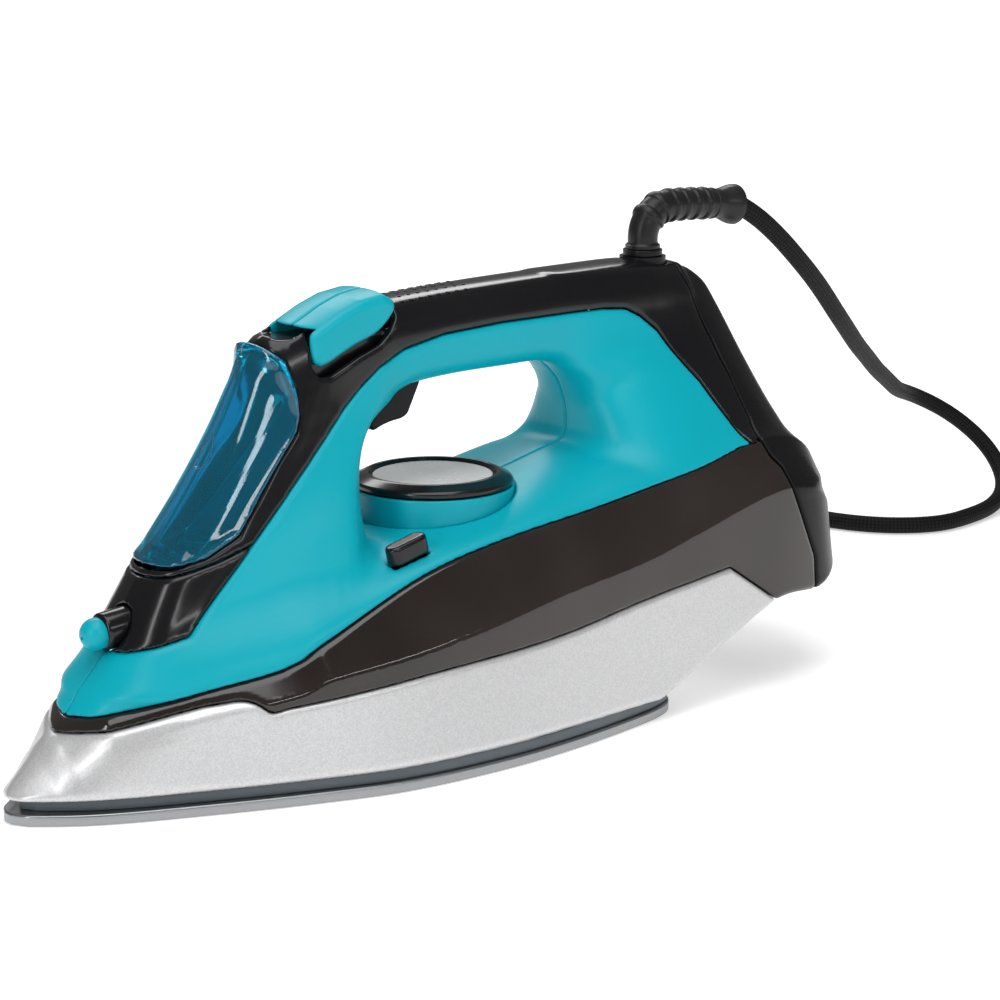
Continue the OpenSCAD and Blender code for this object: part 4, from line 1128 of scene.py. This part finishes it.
def make_trigger():
    step = 0.45
    x, y, z, origin = box_grid((13, -8, 101), (40, 8, 123), step)
    shape = [(15.2, 121), (15.2, 104), (16.5, 102.6), (20, 104), (24, 104.9), (28, 105.2), (30.5, 106.4),
             (35.7, 116.6), (35.7, 121)]
    side = outline_distance(soften(shape + shape[:1], 1.5)[:-1], x[:, 0, :], z[:, 0, :])[:, None, :]
    f = meet(side, np.abs(y) - 6, 1.6)
    finish_piece(solid("trigger_skin", f, origin, step), "black_satin", "trigger_key", "trigger")


make_lever()
make_buttons()
make_trigger()

# ---------- nozzle ----------

nose_place = straight(NOZZLE_AT, NOZZLE_AXIS)
collar = [(1.3, 3.4), (1.6, 5.2), (2.4, 5.9), (14.2, 5.9), (14.2, 3.4)]
finish_piece(turned("nozzle_collar_ring", soften(collar + collar[:1], 0.6)[:-1], nose_place, 72, loop=True),
             "black_gloss", "root", "nozzle_collar")
ball = [(-4.2, 0), (-4.2, 0.5), (-4.93, 0.55)]
ball += [(-5 * math.cos(a), 5 * math.sin(a)) for a in np.linspace(0.17, 2.25, 40)]
ball += [(5, 3.2), (12, 3.2), (12, 0)]
finish_piece(turned("spray_nozzle_ball", ball, nose_place, 64), "teal_plastic", "root", "spray_nozzle")

# ---------- guard, lead and plug ----------


def guard_place(s):
    """A point on the guard's axis, s millimetres from its base, and the directions across it."""
    rise = GUARD_TOP - GUARD_ELBOW - GUARD_BASE
    arc = GUARD_ELBOW * math.pi / 2
    if s < rise:
        x, z, tip = 0, GUARD_BASE + s, 0
    elif s < rise + arc:
        tip = (s - rise) / GUARD_ELBOW
        x, z = GUARD_ELBOW * (1 - math.cos(tip)), GUARD_TOP - GUARD_ELBOW * (1 - math.sin(tip))
    else:
        d = s - rise - arc
        x, z = GUARD_ELBOW + d, GUARD_TOP - GUARD_DROOP * (d / GUARD_REACH) ** 2
        tip = math.pi / 2 + math.atan(2 * GUARD_DROOP * d / GUARD_REACH ** 2)
    aside = np.array((math.cos(tip), 0, -math.sin(tip)))
    return np.array((SWIVEL_X + x, 0, z)), aside, np.array((0.0, 1.0, 0.0))


def make_guard():
    long = GUARD_TOP - GUARD_ELBOW - GUARD_BASE + GUARD_ELBOW * math.pi / 2 + GUARD_REACH
    profile = [(0, 3.5), (0, 5.6), (0.4, 6.0), (1.4, 6.0), (1.8, 5.5)]
    for s in np.arange(2.2, long - 9, 0.25):
        rib = 0.65 * max(0, math.cos(2 * math.pi * (s - 11) / 5.3)) ** 0.5 if 9 < s < long - 11 else 0.0
        swell = 5.15 + 0.25 * math.exp(-((s - 16) / 9) ** 2)
        profile.append((s, swell + rib))
    for u in np.linspace(0, 1, 16):
        profile.append((long - 9 + 8.4 * u, 5.15 + 1.9 * u * u * (3 - 2 * u)))
    profile += [(long - 0.2, 7.1), (long, 6.8), (long, 5.4), (long - 0.7, 4.9), (long - 0.7, 4.5),
                (long + 0.6, 4.1), (long + 1.7, 3.5), (long + 1.7, 0.01), (0, 0.01)]
    obj = turned("cord_guard_ribbed", profile, guard_place, 64)
    finish_piece(obj, "rubber_black", "swivel", "cord_guard")


make_guard()
swivel = [(136, 3.6), (136, 5.45), (147.4, 5.45), (147.4, 6.8), (149.5, 6.8), (149.5, 3.6)]
swivel_place = straight((SWIVEL_X, 0, 0), (0, 0, 1))
finish_piece(turned("cord_swivel_turned", soften(swivel + swivel[:1], 0.3)[:-1], swivel_place, loop=True),
             "black_satin", "swivel", "cord_swivel")
lead, lead_path, lead_length = make_cord()

plug_axis = np.array((math.cos(math.radians(PLUG_TILT)) * math.cos(math.radians(PLUG_TURN)),
                      math.cos(math.radians(PLUG_TILT)) * math.sin(math.radians(PLUG_TURN)),
                      math.sin(math.radians(PLUG_TILT))))
plug_place = straight(PLUG_TAIL, plug_axis)
tail = [(0, 0), (0, 4.3)]
for s in np.arange(0.5, 20, 0.3):
    tail.append((s, 4.4 + 1.6 * s / 22 + 0.5 * max(0, math.sin(2 * math.pi * s / 4)) ** 0.7 - 0.25))
tail += [(21.5, 6.0), (22, 7), (26, 8.8), (37.8, 16), (38.4, 18.1), (39.2, 18.4), (52.8, 18.4), (53.6, 17.9),
         (53.8, 17), (53.2, 15.6), (53.2, 0)]
plug = finish_piece(turned("plug_body", tail, plug_place, 96), "rubber_black", "root", "plug")
across = np.cross((0, 0, 1), plug_axis)
across /= np.linalg.norm(across)
pin_profile = [(52, 0), (52, 2.4), (71.5, 2.4), (72.4, 2.0), (72.9, 1.1), (72.9, 0)]
pins = []
for s, name in ((-1, "plug_pin_near"), (1, "plug_pin_far")):
    foot = np.array(PLUG_TAIL) + across * PIN_SPREAD / 2 * s
    pins.append(turned(name, pin_profile, straight(foot, plug_axis), 40))
finish_piece(pins[0], "brass_pins", "root", "plug_pins")
finish_piece(pins[1], "brass_pins", "root")

tie_x = COIL_AT[0] - (COIL_OUTSIDE + COIL_INSIDE) / 4
out, up = (COIL_OUTSIDE - COIL_INSIDE) / 4 + 1.4, 2 * LEAD + 1.4
strap = soften([(-out, 0), (-out, up), (out, up), (out, 0)], 3.5, 8)
out, up = out - 1.2, up - 1.2
strap += soften([(out, 0), (out, up), (-out, up), (-out, 0)], 2.3, 8)
tie = plate("cord_tie_strap", [strap], -4, 4, 0.25,
            Matrix.Translation((tie_x * MM, COIL_AT[1] * MM, 0)) @ Matrix.Rotation(math.pi / 2, 4, "X"))
finish_piece(tie, "rubber_black", "root", "cord_tie")

# ---------- light ----------


def area_light(name, place, aim, size, power, color=(1, 1, 1)):
    data = bpy.data.lights.new(name, "AREA")
    data.shape = "RECTANGLE"
    data.size, data.size_y = size
    data.energy = power
    data.color = color
    obj = bpy.data.objects.new(name, data)
    bpy.context.scene.collection.objects.link(obj)
    obj.location = place
    obj.rotation_euler = (Vector(aim) - Vector(place)).to_track_quat("-Z", "Y").to_euler()


def make_stage():
    world = bpy.data.worlds.new("studio")
    bpy.context.scene.world = world
    world.use_nodes = True
    tree = world.node_tree
    backdrop = tree.nodes["Background"]
    backdrop.inputs["Color"].default_value = (1, 1, 1, 1)
    level = map_range(tree, 0.16, 1.0)
    seen = node(tree, "ShaderNodeLightPath")
    chain(tree, seen, "Is Camera Ray", "Value", level, "Result", "Strength", backdrop)
    mesh = bpy.data.meshes.new("floor")
    reach = 6
    mesh.from_pydata([(-reach, -reach, 0), (reach, -reach, 0), (reach, reach, 0), (-reach, reach, 0)], [],
                     [(0, 1, 2, 3)])
    floor = bpy.data.objects.new("floor", mesh)
    bpy.context.scene.collection.objects.link(floor)
    # The floor glows, least under the iron and more with distance from it: painted light that whitens the far
    # floor and lifts the shadows round the iron.
    glowing_floor = add_grain(base_material("glowing_floor", (0.9, 0.9, 0.9), 0.8, Emission_Color=(1, 1, 1, 1)), 300, 0.02)
    tree, shader, place = parts_of(glowing_floor)
    away = node(tree, "ShaderNodeVectorMath", operation="LENGTH")
    glow = map_range(tree, 0.42, 0.95)
    glow.inputs["From Min"].default_value = 0.25
    glow.inputs["From Max"].default_value = 1.6
    chain(tree, place, "Object", 0, away, "Value", "Value", glow, "Result", "Emission Strength", shader)
    mesh.materials.append(glowing_floor)
    floor.location.z = -0.0002
    area_light("over", (-0.1, -0.2, 1.1), (0.05, 0, 0.05), (0.8, 1.1), 8.5)
    area_light("left", (-1.0, -0.35, 0.5), (0, 0, 0.08), (0.16, 0.8), 3.2)
    area_light("front", (0.1, -1.3, 0.7), (0.05, 0, 0.05), (1.1, 0.12), 3.2)
    area_light("behind", (0.55, 0.9, 0.9), (0.05, 0, 0.08), (1.0, 0.3), 5)
    view = bpy.context.scene.view_settings
    view.view_transform = "Standard"
    view.look = "None"


make_stage()
